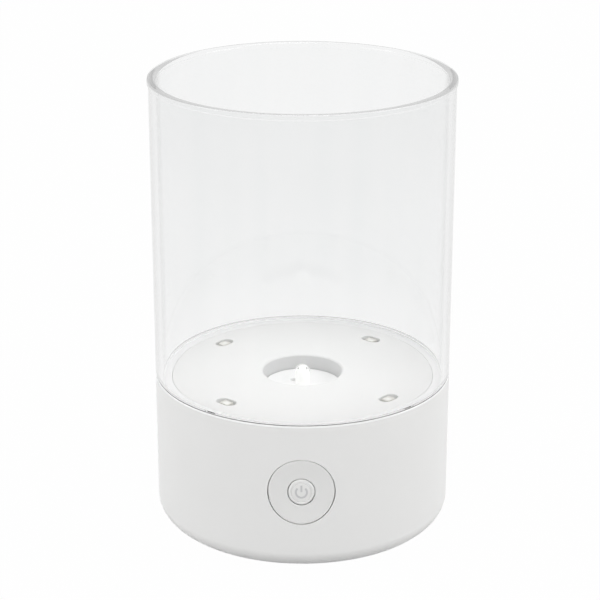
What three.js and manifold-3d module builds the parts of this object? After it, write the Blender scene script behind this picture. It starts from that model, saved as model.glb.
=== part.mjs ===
import * as THREE from "three";
import { mergeVertices } from "three/addons/utils/BufferGeometryUtils.js";
import Module from "manifold-3d";

// A round table lamp for salt stones: a clear cylinder on a white moulded base with a push button.
// Millimetres, +Z up, button towards -Y, origin on the ground under the middle of the base.

const wasm = await Module();
wasm.setup();

// Overall sizes
const bodyRadius = 49;
const baseHeight = 50.6;
const footProud = 0.8;
const cylinderHeight = 99.6;
const cylinderWall = 2.4;
const shellWall = 2.2;
const lowerRound = 6.2;
const seamGap = 0.3;

// Clearances shared by every fit
const clearance = 0.3;
const touchGap = 0.1;
const overrun = 2;
const weldDistance = 0.0001;

// Top features share this small turn away from the button's middle line
const topTurn = THREE.MathUtils.degToRad(4);

// Cylinder: rim bead, edges and the two tabs on its lower edge
const rimBead = 0.35;
const rimBeadHeight = 2.6;
const rimRound = 0.8;
const softEdge = 0.4;
const tabSpread = THREE.MathUtils.degToRad(41);
const tabLength = 3.8;
const tabThickness = 0.8;
const tabDepth = 2.2;

// Shell: plate recess, plate ledge, top flange, cover seat, tab slots
const plateDrop = 0.7;
const ledgeWidth = 1.7;
const ledgeThickness = 1.4;
const flangeThickness = 2.1;
const plateToWall = 3.2;
const innerRound = 4;
const coverMargin = 0.6;
const shelfWidth = 3.1;
const shelfThickness = 2;
const slotLength = 4.6;
const slotInside = 1.2;
const slotDepth = 3.2;

// Screw columns inside the shell and the cover's screws
const columnRadius = 3.2;
const columnHeight = 19;
const columnRib = 1.8;
const coverScrewShaft = 0.95;
const coverScrewLength = 10;
const coverScrewHead = 2.7;
const coverScrewHeadHeight = 0.9;

// Bottom cover and feet
const coverThickness = 2;
const coverRibHeight = 1.5;
const coverRibThickness = 1.2;
const footInset = 9.2;
const footRadius = 5;
const footRecess = 0.9;

// Top plate with its well, four windows, hooks and stakes
const plateThickness = 1.8;
const wellRadius = 13.2;
const wellDepth = 5.1;
const wellWall = 1.3;
const wellEdgeRound = 0.8;
const wellLipWidth = 1.2;
const wellLipThickness = 0.8;
const collarBelowBoard = 0.5;
const windowLength = 7.1;
const windowWidth = 4.4;
const windowInset = 6.8;
const hookThickness = 1.2;
const hookNose = 1.2;
const hookWidth = 7;
const hookTail = 1.9;
const hookSlope = 1.3;
const stakeInset = 9.5;
const stakeRadius = 1.1;
const stakeHeadRadius = 2;
const stakeHeadHeight = 0.8;

// Light parts: boards, flat lamps, well lamp and reflector
const boardThickness = 1.2;
const ledLength = 3.5;
const ledWidth = 2.8;
const ledHeight = 1.7;
const ledLensRadius = 1.2;
const ledLensDepth = 0.2;
const wellLampRadius = 2.5;
const wellLampHeight = 8.5;
const wellLampFlange = 0.4;
const reflectorThickness = 0.8;
const reflectorHoleRadius = 1.2;
const reflectorHoleWeb = 0.7;
const reflectorHoleTurn = THREE.MathUtils.degToRad(131);

// Push button: dish, cap and the switch behind it
const buttonDrop = 22.8;
const dishWidth = 21.1;
const dishHeight = 22.5;
const dishSink = 0.1;
const dishDepth = 1;
const dishRim = 0.5;
const dishGap = 0.35;
const dishFlange = 1.7;
const dishFlangeThickness = 1.2;
const dishLip = 1.2;
const capWidth = 8.7;
const capProud = 0.65;
const capRound = 0.4;
const capFlange = 1.55;
const capFlangeThickness = 0.8;
const capGrooveRadius = 3.25;
const capGrooveWidth = 0.4;
const capGrooveDepth = 0.25;
const capStemRadius = 1.6;
const capStemLength = 2.3;
const capTravel = 0.6;
const switchSize = 6;
const switchHeight = 3.5;
const plungerRadius = 1.7;
const plungerProud = 1.5;
const plungerInside = 0.9;
const switchBoardWidth = 38;
const switchBoardHeight = 14;
const switchBossRadius = 2.6;
const switchBossInset = 3;
const switchBossHoleDepth = 4;

// Small board screws
const boardScrewShaft = 0.9;
const boardScrewHead = 1.8;
const boardScrewHeadHeight = 1.2;
const boardScrewGrip = 3.2;

// Main board on posts of the cover, and what stands on it
const mainBoardWidth = 24;
const mainBoardLength = 34;
const mainBoardThickness = 1.6;
const mainBoardMargin = 0.8;
const postRadius = 2.4;
const postHeight = 5.2;
const postInset = 2.8;
const chipLength = 5;
const chipWidth = 4;
const chipHeight = 1.5;
const chipLegWidth = 0.4;
const chipLegReach = 1.1;
const chipLegThickness = 0.25;
const chipLegPitch = 1.27;
const capacitorRadius = 3.2;
const capacitorHeight = 6.5;
const capacitorGroove = 0.3;
const capacitorGrooveShares = [0.2, 0.25, 0.33];
const inductorSize = 5.2;
const inductorHeight = 3;
const inductorChamfer = 1.2;

// Inlet at the back
const socketWidth = 9;
const socketHeight = 3.3;
const socketLength = 7.4;
const socketWall = 0.35;
const socketInset = 1.4;
const socketTongueWidth = 6.7;
const socketTongueThickness = 0.7;
const socketTongueLength = 4.9;
const plugRecessWidth = 12.6;
const plugRecessHeight = 7;
const plugRecessDepth = 1.1;

// Wire headers and two-core leads
const headerWidth = 6;
const headerDepth = 4.6;
const headerHeight = 4.2;
const headerWall = 0.7;
const headerMouth = 3;
const headerPlugIn = 1;
const headerSpread = 3.6;
const leadWidth = 2.4;
const leadThickness = 1.2;
const leadPullShare = 0.6;
const ledHeaderInset = 10.5;
const ledHeaderTurn = THREE.MathUtils.degToRad(160);
const jumperStartInset = 5.2;
const jumperEndReach = 5.5;
const jumperTurn = THREE.MathUtils.degToRad(229);

// Counts
const fineSides = 48;
const plateSides = 40;
const plainSides = 32;
const buttonSides = 28;
const smallSides = 12;
const screwSides = 8;
const leadSteps = 12;
const leadArcSteps = 2;
const slotArcSteps = 6;
const chipLegSteps = [-1.5, -0.5, 0.5, 1.5];
const quarters = [0, 1, 2, 3].map((turn) => (turn * Math.PI) / 2);
const diagonal = Math.PI / 4;

// Heights worked out from the sizes above
const shellBottom = footProud;
const seamHeight = shellBottom + baseHeight;
const rimHeight = seamHeight + cylinderHeight;
const plateTop = seamHeight - plateDrop;
const plateBottom = plateTop - plateThickness;
const ledBoardTop = plateBottom - clearance;
const ledBoardBottom = ledBoardTop - boardThickness;
const wellFloor = plateTop - wellDepth;
const wellLipTop = wellFloor - reflectorThickness - touchGap;
const wellBoardTop = wellLipTop - wellLipThickness - touchGap;
const wellBoardBottom = wellBoardTop - boardThickness;
const coverTop = shellBottom + coverThickness;
const shelfBottom = coverTop + clearance;
const shelfTop = shelfBottom + shelfThickness;
const mainBoardBottom = coverTop + postHeight + touchGap;
const mainBoardTop = mainBoardBottom + mainBoardThickness;
const socketMiddle = mainBoardTop + touchGap + socketHeight / 2;
const buttonHeight = seamHeight - buttonDrop;

// Radii worked out from the sizes above
const shellInner = bodyRadius - shellWall;
const cylinderInner = bodyRadius - cylinderWall;
const plateOpening = shellInner - plateToWall;
const plateRadius = plateOpening - clearance;
const ledgeInner = plateOpening - ledgeWidth;
const hookOuter = ledgeInner - clearance;
const ledBoardRadius = hookOuter - hookThickness - clearance * 2;
const coverRadius = bodyRadius - lowerRound - coverMargin;
const coverSeat = coverRadius + clearance;
const shelfInner = coverSeat - shelfWidth;
const columnRing = shelfInner - columnRadius - clearance;
const coverRibOuter = shelfInner - clearance;
const coverRibInner = coverRibOuter - coverRibThickness;
const wellOuter = wellRadius + wellWall;
const wellLipRadius = wellRadius - wellLipWidth;
const footRing = coverRadius - footInset;
const windowRing = plateRadius - windowInset;
const stakeRing = windowRing - stakeInset;
const ledHeaderRing = windowRing - ledHeaderInset;
const jumperStartRing = wellRadius - jumperStartInset;
const jumperEndRing = wellOuter + jumperEndReach;
const tabInner = cylinderInner + clearance;
const tabOuter = tabInner + tabThickness;

// Places of the button's layers, measured inwards from the outside of the wall
const dishInnerEdge = dishSink + dishDepth;
const dishLipBack = dishInnerEdge + dishLip;
const dishFlangeFront = shellWall + clearance;
const dishFlangeBack = dishFlangeFront + dishFlangeThickness;
const capFace = dishInnerEdge - capProud;
const capFlangeFront = dishLipBack + clearance;
const capFlangeBack = capFlangeFront + capFlangeThickness;
const capStemEnd = capFlangeBack + capStemLength;
const plungerTip = capStemEnd + touchGap;
const switchFront = plungerTip + plungerProud;
const switchBack = switchFront + switchHeight;
const switchBoardFront = switchBack + touchGap;
const switchBoardBack = switchBoardFront + boardThickness;
const capRadius = capWidth / 2;
const dishRadius = dishWidth / 2;
const dishBore = capRadius + clearance;
const capFlangeRadius = capRadius + capFlange;

// Main board's place: its back corners stay clear of the shell
const mainBoardBack = Math.sqrt(shellInner ** 2 - (mainBoardWidth / 2) ** 2) - mainBoardMargin;
const mainBoardFront = mainBoardBack - mainBoardLength;
const postX = mainBoardWidth / 2 - postInset;
const postReach = coverRibInner - postRadius - clearance;
const postRows = [mainBoardFront + postInset, Math.sqrt(postReach ** 2 - postX ** 2)];

// Closed geometry to solid and back

function solidOf(geometry) {
  const bare = new THREE.BufferGeometry();
  bare.setAttribute("position", geometry.getAttribute("position"));
  bare.setIndex(geometry.index);
  const welded = mergeVertices(bare, weldDistance);
  return new wasm.Manifold(
    new wasm.Mesh({
      numProp: 3,
      vertProperties: welded.getAttribute("position").array,
      triVerts: new Uint32Array(welded.index.array),
    })
  );
}

function geometryOf(solid) {
  const mesh = solid.getMesh();
  const geometry = new THREE.BufferGeometry();
  geometry.setAttribute("position", new THREE.BufferAttribute(mesh.vertProperties, 3));
  geometry.setIndex(new THREE.BufferAttribute(mesh.triVerts, 1));
  geometry.computeVertexNormals();
  return geometry;
}

// The pieces joined, less every cutter
function shaped(pieces, cutters = []) {
  let solid = solidOf(pieces[0]);
  for (const piece of pieces.slice(1)) {
    solid = solid.add(solidOf(piece));
  }
  for (const cutter of cutters) {
    solid = solid.subtract(solidOf(cutter));
  }
  return geometryOf(solid);
}

function common(first, second) {
  return geometryOf(solidOf(first).intersect(solidOf(second)));
}

// Basic forms

// A turned form about Z from an outline of radius and height
function turned(outline, sides = fineSides, arcSteps = 2) {
  const points = [];
  for (const point of outline.getPoints(arcSteps)) {
    const last = points[points.length - 1];
    if (!last || last.distanceTo(point) > weldDistance) {
      points.push(point);
    }
  }
  return new THREE.LatheGeometry(points, sides).rotateX(Math.PI / 2);
}

// A closed run of straight lines, as corners of radius and height
function corners(...points) {
  const outline = new THREE.Path();
  outline.moveTo(...points[0]);
  for (const point of points.slice(1)) {
    outline.lineTo(...point);
  }
  return outline;
}

function post(radius, low, high, sides = smallSides) {
  return turned(corners([0, low], [radius, low], [radius, high], [0, high]), sides);
}

function ring(inner, outer, low, high, sides = plainSides) {
  return turned(corners([inner, low], [outer, low], [outer, high], [inner, high], [inner, low]), sides);
}

function block(low, high) {
  const size = high.map((value, axis) => value - low[axis]);
  const middle = high.map((value, axis) => (value + low[axis]) / 2);
  return new THREE.BoxGeometry(...size).translate(...middle);
}

function prism(outline, depth) {
  return new THREE.ExtrudeGeometry(outline, { depth, bevelEnabled: false, curveSegments: slotArcSteps });
}

// A slot outline with round ends, long in X
function slotOutline(length, width) {
  const straight = (length - width) / 2;
  const outline = new THREE.Shape();
  outline.absarc(straight, 0, width / 2, -Math.PI / 2, Math.PI / 2);
  outline.absarc(-straight, 0, width / 2, Math.PI / 2, (Math.PI * 3) / 2);
  return outline;
}

// Turns a form that stands on Z so that its top looks along -Y
function facingFront(geometry) {
  return geometry.rotateX(Math.PI / 2);
}

// Turns a form that stands on Z so that its top looks along +Y
function facingBack(geometry) {
  return geometry.rotateX(-Math.PI / 2);
}

function atRing(geometry, radius, turn) {
  return geometry.translate(radius, 0, 0).rotateZ(turn);
}

function onRing(radius, turn, height) {
  return new THREE.Vector3(radius * Math.cos(turn), radius * Math.sin(turn), height);
}

const lamp = new THREE.Group();

function add(name, geometry, finish, parent = lamp) {
  const mesh = new THREE.Mesh(geometry, new THREE.MeshStandardMaterial(finish));
  mesh.name = name;
  parent.add(mesh);
  return mesh;
}

// Finishes: colour, roughness, metalness
const clearPlastic = { color: 0xf4f6f6, roughness: 0.05, metalness: 0, transparent: true, opacity: 0.25 };
const whitePlastic = { color: 0xeeeeec, roughness: 0.35, metalness: 0 };
const plateWhite = { color: 0xf2f2f0, roughness: 0.3, metalness: 0 };
const dishGrey = { color: 0xd6d6d4, roughness: 0.35, metalness: 0 };
const reflectorWhite = { color: 0xfbfbf8, roughness: 0.12, metalness: 0 };
const lampClear = { color: 0xf8f8f4, roughness: 0.05, metalness: 0 };
const lampBody = { color: 0xe6e4da, roughness: 0.4, metalness: 0 };
const boardWhite = { color: 0xdedfdc, roughness: 0.45, metalness: 0 };
const boardGreen = { color: 0x2f6b46, roughness: 0.45, metalness: 0 };
const blackPlastic = { color: 0x1e1f21, roughness: 0.5, metalness: 0 };
const brightMetal = { color: 0xb9bcc0, roughness: 0.3, metalness: 1 };
const headerCream = { color: 0xe9e4d2, roughness: 0.5, metalness: 0 };
const leadGrey = { color: 0x8c8f94, roughness: 0.6, metalness: 0 };
const footRubber = { color: 0xa8a9a8, roughness: 0.85, metalness: 0 };

// Base shell: turned casing, screw columns on ribs, switch bosses, openings

function shellOutline() {
  const outline = new THREE.Path();
  const roundCentre = bodyRadius - lowerRound;
  outline.moveTo(shelfInner, shelfBottom);
  outline.lineTo(coverSeat, shelfBottom);
  outline.lineTo(coverSeat, shellBottom);
  outline.lineTo(roundCentre, shellBottom);
  outline.absarc(roundCentre, shellBottom + lowerRound, lowerRound, -Math.PI / 2, 0);
  outline.lineTo(bodyRadius, seamHeight - softEdge);
  outline.lineTo(bodyRadius - softEdge, seamHeight);
  outline.lineTo(cylinderInner, seamHeight);
  outline.lineTo(cylinderInner, plateTop);
  outline.lineTo(plateOpening, plateTop);
  outline.lineTo(plateOpening, plateBottom - clearance);
  outline.lineTo(ledgeInner, plateBottom - clearance);
  outline.lineTo(ledgeInner, plateBottom - clearance - ledgeThickness);
  outline.lineTo(plateOpening + clearance, plateBottom - clearance - ledgeThickness);
  outline.lineTo((plateOpening + shellInner) / 2, plateTop - flangeThickness);
  outline.lineTo(shellInner, plateTop - flangeThickness);
  outline.lineTo(shellInner, shelfTop + innerRound);
  outline.absarc(shellInner - innerRound, shelfTop + innerRound, innerRound, 0, -Math.PI / 2, true);
  outline.lineTo(shelfInner, shelfTop);
  outline.lineTo(shelfInner, shelfBottom);
  return outline;
}

// Everything inside the middle of the shell's wall: what is moulded onto the shell is kept in it
function insideWall() {
  const outline = new THREE.Path();
  const reach = shellInner + shellWall / 2;
  const round = lowerRound - shellWall / 2;
  outline.moveTo(0, shelfBottom);
  outline.lineTo(coverSeat, shelfBottom);
  outline.lineTo(reach - round, shelfBottom);
  outline.absarc(reach - round, shelfBottom + round, round, -Math.PI / 2, 0);
  outline.lineTo(reach, seamHeight - flangeThickness);
  outline.lineTo(0, seamHeight - flangeThickness);
  return outline;
}

function screwColumn(turn) {
  const top = shelfBottom + columnHeight;
  const column = post(columnRadius, shelfBottom, top);
  const rib = block(
    [0, -columnRib / 2, shelfBottom + shelfThickness / 2],
    [bodyRadius - columnRing, columnRib / 2, top - columnRib]
  );
  return atRing(shaped([column, rib]), columnRing, turn);
}

function switchBoss(side) {
  const bossX = side * (switchBoardWidth / 2 - switchBossInset);
  const length = switchBoardFront - clearance;
  const boss = facingFront(post(switchBossRadius, 0, length));
  return boss.translate(bossX, length - bodyRadius, buttonHeight);
}

function switchBossHole(side) {
  const bossX = side * (switchBoardWidth / 2 - switchBossInset);
  const length = switchBoardFront - clearance;
  const hole = facingFront(post(boardScrewShaft + clearance, 0, switchBossHoleDepth + overrun));
  return hole.translate(bossX, length + overrun - bodyRadius, buttonHeight);
}

// Turns are about the lamp's axis, counted from the front
function frontTurn(turn) {
  return turn - Math.PI / 2 + topTurn;
}

function baseShell() {
  const casing = turned(shellOutline());
  const columns = quarters.map((turn) => screwColumn(turn + diagonal));
  const bosses = [-1, 1].map((side) => switchBoss(side));
  const fittings = common(shaped([...columns, ...bosses]), turned(insideWall()));
  const cutters = [];
  for (const turn of quarters) {
    const hole = post(coverScrewShaft + clearance, shelfBottom - overrun, shelfBottom + coverScrewLength);
    cutters.push(atRing(hole, columnRing, turn + diagonal));
  }
  for (const side of [-1, 1]) {
    cutters.push(switchBossHole(side));
    const slot = block(
      [cylinderInner - slotInside, -slotLength / 2, seamHeight - slotDepth],
      [tabOuter + clearance, slotLength / 2, seamHeight + overrun]
    );
    cutters.push(slot.rotateZ(frontTurn(side * tabSpread)));
  }
  cutters.push(buttonOpening(), ...socketOpenings());
  return shaped([casing, fittings], cutters);
}

// The button's parts are oval: a turned form stretched upwards
function oval(geometry) {
  return geometry.scale(1, 1, dishHeight / dishWidth);
}

function buttonOpening() {
  const depth = shellWall + overrun * 2;
  const hole = facingFront(post(dishRadius + dishGap, 0, depth, buttonSides));
  return oval(hole).translate(0, shellWall + overrun - bodyRadius, buttonHeight);
}

function socketOpenings() {
  const slot = prism(
    slotOutline(socketWidth + clearance * 2, socketHeight + clearance * 2),
    shellWall + overrun * 2
  );
  const recess = prism(slotOutline(plugRecessWidth, plugRecessHeight), plugRecessDepth + overrun);
  return [
    facingBack(slot).translate(0, bodyRadius - shellWall - overrun, socketMiddle),
    facingBack(recess).translate(0, bodyRadius - plugRecessDepth, socketMiddle),
  ];
}

// Clear cylinder: open at both ends, rim bead outside, two tabs that drop into the shell's slots

function cylinderOutline() {
  const low = seamHeight + seamGap;
  const beadRadius = bodyRadius + rimBead;
  const outline = new THREE.Path();
  outline.moveTo(cylinderInner, low);
  outline.lineTo(bodyRadius - softEdge, low);
  outline.lineTo(bodyRadius, low + softEdge);
  outline.lineTo(bodyRadius, rimHeight - rimBeadHeight - rimBead);
  outline.lineTo(beadRadius, rimHeight - rimBeadHeight);
  outline.absarc(beadRadius - rimRound, rimHeight - rimRound, rimRound, 0, Math.PI / 2);
  outline.absarc(cylinderInner + rimRound, rimHeight - rimRound, rimRound, Math.PI / 2, Math.PI);
  outline.lineTo(cylinderInner, low);
  return outline;
}

function cylinderTab(side) {
  const outline = new THREE.Shape();
  outline.moveTo(tabInner, seamHeight - tabDepth + tabThickness / 2);
  outline.lineTo(tabInner + tabThickness / 2, seamHeight - tabDepth);
  outline.lineTo(tabOuter, seamHeight - tabDepth);
  outline.lineTo(tabOuter, seamHeight + tabDepth);
  outline.lineTo(tabInner, seamHeight + tabDepth);
  const tab = facingFront(prism(outline, tabLength)).translate(0, tabLength / 2, 0);
  return tab.rotateZ(frontTurn(side * tabSpread));
}

add("cylinder", shaped([turned(cylinderOutline()), cylinderTab(-1), cylinderTab(1)]), clearPlastic);
add("base_shell", baseShell(), whitePlastic);

// Bottom cover: disc with a locating rib, counterbored screw holes, foot recesses and board posts

function bottomCover() {
  const disc = turned(
    corners(
      [0, shellBottom],
      [coverRadius - softEdge, shellBottom],
      [coverRadius, shellBottom + softEdge],
      [coverRadius, coverTop],
      [coverRibOuter, coverTop],
      [coverRibOuter, coverTop + coverRibHeight],
      [coverRibInner, coverTop + coverRibHeight],
      [coverRibInner, coverTop],
      [0, coverTop]
    ),
    plainSides
  );
  const posts = [];
  const cutters = [];
  for (const y of postRows) {
    for (const x of [-postX, postX]) {
      posts.push(post(postRadius, coverTop - coverThickness / 2, coverTop + postHeight).translate(x, y, 0));
      const hole = post(boardScrewShaft + clearance, coverTop, coverTop + postHeight + overrun);
      cutters.push(hole.translate(x, y, 0));
    }
  }
  for (const turn of quarters) {
    const notch = post(columnRadius + clearance * 2, coverTop, coverTop + coverRibHeight + overrun);
    const hole = post(coverScrewShaft + clearance, shellBottom - overrun, coverTop + overrun);
    const headRoom = coverScrewHeadHeight + touchGap * 2;
    const head = post(coverScrewHead + clearance, shellBottom - overrun, shellBottom + headRoom);
    for (const cutter of [notch, hole, head]) {
      cutters.push(atRing(cutter, columnRing, turn + diagonal));
    }
    const seatTop = shellBottom + footRecess;
    const seat = post(footRadius + clearance, shellBottom - overrun, seatTop, plainSides / 2);
    cutters.push(atRing(seat, footRing, turn));
  }
  return shaped([disc, ...posts], cutters);
}

add("bottom_cover", bottomCover(), whitePlastic);

// Rubber feet, pressed into the cover

const footTop = shellBottom + footRecess - touchGap;
const foot = turned(
  corners([0, 0], [footRadius - softEdge, 0], [footRadius, softEdge], [footRadius, footTop], [0, footTop]),
  plainSides / 2
);
quarters.forEach((turn, index) => {
  const mesh = add(`foot_${index + 1}`, foot.clone(), footRubber);
  mesh.position.copy(onRing(footRing, turn, 0));
});

// A pan head screw: its head stands up from the origin and its shaft hangs below

function screw(headRadius, headHeight, shaftRadius, shaftLength) {
  return turned(
    corners(
      [0, -shaftLength],
      [shaftRadius / 2, -shaftLength],
      [shaftRadius, shaftRadius / 2 - shaftLength],
      [shaftRadius, 0],
      [headRadius, 0],
      [headRadius, headHeight / 2],
      [headRadius - headHeight / 2, headHeight],
      [0, headHeight]
    ),
    screwSides
  );
}

quarters.forEach((turn, index) => {
  const angle = turn + diagonal;
  const shaft = coverScrewLength - touchGap - coverScrewHeadHeight;
  const geometry = screw(coverScrewHead, coverScrewHeadHeight, coverScrewShaft, shaft);
  const mesh = add(`cover_screw_${index + 1}`, geometry, brightMetal);
  mesh.rotation.x = Math.PI;
  mesh.position.copy(onRing(columnRing, angle, shellBottom + touchGap + coverScrewHeadHeight));
});

// Top plate: disc and well in one moulding, snap hooks at the edge, stakes that hold the ring board

function plateOutline() {
  const collarBottom = wellBoardBottom - collarBelowBoard;
  const outline = new THREE.Path();
  outline.moveTo(wellRadius, collarBottom);
  outline.lineTo(wellOuter, collarBottom);
  outline.lineTo(wellOuter, plateBottom);
  outline.lineTo(plateRadius, plateBottom);
  outline.lineTo(plateRadius, plateTop - softEdge);
  outline.lineTo(plateRadius - softEdge, plateTop);
  outline.absarc(wellRadius + wellEdgeRound, plateTop - wellEdgeRound, wellEdgeRound, Math.PI / 2, Math.PI);
  outline.lineTo(wellRadius, wellLipTop);
  outline.lineTo(wellLipRadius, wellLipTop);
  outline.lineTo(wellLipRadius, wellLipTop - wellLipThickness);
  outline.lineTo(wellRadius, wellLipTop - wellLipThickness);
  outline.lineTo(wellRadius, collarBottom);
  return outline;
}

function snapHook(turn) {
  const catchHeight = plateBottom - clearance * 2 - ledgeThickness;
  const tail = catchHeight - hookTail;
  const outline = new THREE.Shape();
  outline.moveTo(hookOuter - hookThickness, tail);
  outline.lineTo(hookOuter, tail);
  outline.lineTo(hookOuter + hookNose, tail + hookSlope);
  outline.lineTo(hookOuter + hookNose, catchHeight);
  outline.lineTo(hookOuter, catchHeight);
  outline.lineTo(hookOuter, plateBottom + plateThickness / 2);
  outline.lineTo(hookOuter - hookThickness, plateBottom + plateThickness / 2);
  return facingFront(prism(outline, hookWidth)).translate(0, hookWidth / 2, 0).rotateZ(turn);
}

function heatStake(turn) {
  const neck = ledBoardBottom - touchGap;
  const outline = new THREE.Path();
  outline.moveTo(0, neck - stakeHeadHeight);
  outline.lineTo(stakeHeadRadius - stakeHeadHeight, neck - stakeHeadHeight);
  outline.lineTo(stakeHeadRadius, neck - stakeHeadHeight / 2);
  outline.lineTo(stakeHeadRadius, neck);
  outline.lineTo(stakeRadius, neck);
  outline.lineTo(stakeRadius, plateBottom + plateThickness / 2);
  outline.lineTo(0, plateBottom + plateThickness / 2);
  return atRing(turned(outline, smallSides), stakeRing, turn);
}

function topPlate() {
  const hooks = quarters.map((turn) => snapHook(turn + topTurn));
  const stakes = quarters.map((turn) => heatStake(turn + topTurn));
  const windows = quarters.map((turn) => {
    const window = prism(slotOutline(windowLength, windowWidth), plateThickness + overrun * 2);
    window.rotateZ(Math.PI / 2).translate(0, 0, plateBottom - overrun);
    return atRing(window, windowRing, turn + diagonal + topTurn);
  });
  return shaped([turned(plateOutline(), plateSides), ...hooks, ...stakes], windows);
}

add("top_plate", topPlate(), plateWhite);

// Ring board under the plate, with the four flat lamps that look up through the windows

const stakeHoles = quarters.map((turn) => {
  const hole = post(stakeRadius + clearance, ledBoardBottom - overrun, ledBoardTop + overrun);
  return atRing(hole, stakeRing, turn + topTurn);
});
const ledBoard = ring(wellOuter + clearance, ledBoardRadius, ledBoardBottom, ledBoardTop);
add("led_board", shaped([ledBoard], stakeHoles), boardWhite);

function flatLamp() {
  const body = block([-ledWidth / 2, -ledLength / 2, 0], [ledWidth / 2, ledLength / 2, ledHeight]);
  const lens = post(ledLensRadius, ledHeight - ledLensDepth, ledHeight + overrun);
  return shaped([body], [lens]);
}

quarters.forEach((turn, index) => {
  const angle = turn + diagonal + topTurn;
  const mesh = add(`led_${index + 1}`, flatLamp(), lampBody);
  mesh.rotation.z = angle;
  mesh.position.copy(onRing(windowRing, angle, ledBoardTop + touchGap));
});

// Well: reflector disc on the lip, round-nosed lamp in its middle, small board under the lip

function wellReflector() {
  const disc = ring(
    wellLampRadius + clearance,
    wellRadius - clearance,
    wellFloor - reflectorThickness,
    wellFloor
  );
  const holeRing = wellLampRadius + clearance + reflectorHoleWeb + reflectorHoleRadius;
  const hole = post(reflectorHoleRadius, wellFloor - reflectorThickness - overrun, wellFloor + overrun);
  return shaped([disc], [atRing(hole, holeRing, reflectorHoleTurn)]);
}

function wellLamp() {
  const low = wellBoardTop + touchGap;
  const domeCentre = low + wellLampHeight - wellLampRadius;
  const outline = new THREE.Path();
  outline.moveTo(0, low);
  outline.lineTo(wellLampRadius + wellLampFlange, low);
  outline.lineTo(wellLampRadius + wellLampFlange, low + wellLipThickness);
  outline.lineTo(wellLampRadius, low + wellLipThickness);
  outline.absarc(0, domeCentre, wellLampRadius, 0, Math.PI / 2);
  return turned(outline, plainSides / 2);
}

add("well_reflector", wellReflector(), reflectorWhite);
add("centre_led", wellLamp(), lampClear);
const wellBoard = post(wellRadius - clearance, wellBoardBottom, wellBoardTop, plainSides);
add("centre_led_board", wellBoard, boardWhite);

// Push button: oval dish let into the wall, cap that slides through it

// Curves a form that faces the front so that it follows the round wall
function bentToWall(geometry) {
  const place = geometry.getAttribute("position");
  for (let index = 0; index < place.count; index += 1) {
    const x = place.getX(index);
    place.setY(index, place.getY(index) + bodyRadius - Math.sqrt(bodyRadius ** 2 - x ** 2));
  }
  return geometry;
}

// From an outline of radius and outward height to its place in the front wall
function inFrontWall(geometry) {
  return bentToWall(oval(facingFront(geometry)).translate(0, -bodyRadius, buttonHeight));
}

function dishGeometry() {
  const edge = dishRadius - dishRim;
  const flangeRadius = dishRadius + dishFlange;
  const outline = new THREE.Path();
  outline.moveTo(dishBore, -dishLipBack);
  outline.lineTo(capFlangeRadius + clearance, -dishLipBack);
  outline.lineTo(capFlangeRadius + clearance, -dishFlangeBack);
  outline.lineTo(flangeRadius, -dishFlangeBack);
  outline.lineTo(flangeRadius, -dishFlangeFront);
  outline.lineTo(dishRadius, -dishFlangeFront);
  outline.lineTo(dishRadius, -dishSink - dishRim / 2);
  outline.lineTo(edge, -dishSink);
  outline.quadraticCurveTo((edge + dishBore) / 2, -dishInnerEdge, dishBore, -dishInnerEdge);
  outline.lineTo(dishBore, -dishLipBack);
  return inFrontWall(turned(outline, buttonSides, 3));
}

function capGeometry() {
  const grooveOuter = capGrooveRadius + capGrooveWidth / 2;
  const grooveInner = capGrooveRadius - capGrooveWidth / 2;
  const outline = new THREE.Path();
  outline.moveTo(0, -capStemEnd);
  outline.lineTo(capStemRadius, -capStemEnd);
  outline.lineTo(capStemRadius, -capFlangeBack);
  outline.lineTo(capFlangeRadius, -capFlangeBack);
  outline.lineTo(capFlangeRadius, -capFlangeFront);
  outline.lineTo(capRadius, -capFlangeFront);
  outline.absarc(capRadius - capRound, -capFace - capRound, capRound, 0, Math.PI / 2);
  outline.lineTo(grooveOuter, -capFace);
  outline.lineTo(grooveOuter, -capFace - capGrooveDepth);
  outline.lineTo(grooveInner, -capFace - capGrooveDepth);
  outline.lineTo(grooveInner, -capFace);
  outline.lineTo(0, -capFace);
  return inFrontWall(turned(outline, buttonSides));
}

add("button_bezel", dishGeometry(), dishGrey);
add("button_cap", capGeometry(), whitePlastic);

// Switch behind the button: body with a sliding plunger, on a board screwed to the shell's bosses

function tactSwitch() {
  const half = switchSize / 2;
  const body = block([-half, -half, 0], [half, half, switchHeight]);
  const wellLow = switchHeight - plungerInside - capTravel - clearance;
  const bore = post(plungerRadius + clearance, wellLow, switchHeight + overrun);
  return facingFront(shaped([body], [bore])).translate(0, switchBack - bodyRadius, buttonHeight);
}

add("tact_switch", tactSwitch(), blackPlastic);
const plunger = facingFront(post(plungerRadius, 0, plungerProud + plungerInside));
plunger.translate(0, switchFront + plungerInside - bodyRadius, buttonHeight);
add("switch_plunger", plunger, headerCream);

function switchBoard() {
  const board = block(
    [-switchBoardWidth / 2, switchBoardFront - bodyRadius, buttonHeight - switchBoardHeight / 2],
    [switchBoardWidth / 2, switchBoardBack - bodyRadius, buttonHeight + switchBoardHeight / 2]
  );
  const holes = [-1, 1].map((side) => {
    const hole = facingFront(post(boardScrewShaft + clearance, 0, boardThickness + overrun * 2));
    const holeX = side * (switchBoardWidth / 2 - switchBossInset);
    return hole.translate(holeX, switchBoardBack + overrun - bodyRadius, buttonHeight);
  });
  return shaped([board], holes);
}

add("switch_board", switchBoard(), boardGreen);

function boardScrew(thickness) {
  return screw(boardScrewHead, boardScrewHeadHeight, boardScrewShaft, thickness + boardScrewGrip);
}

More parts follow.
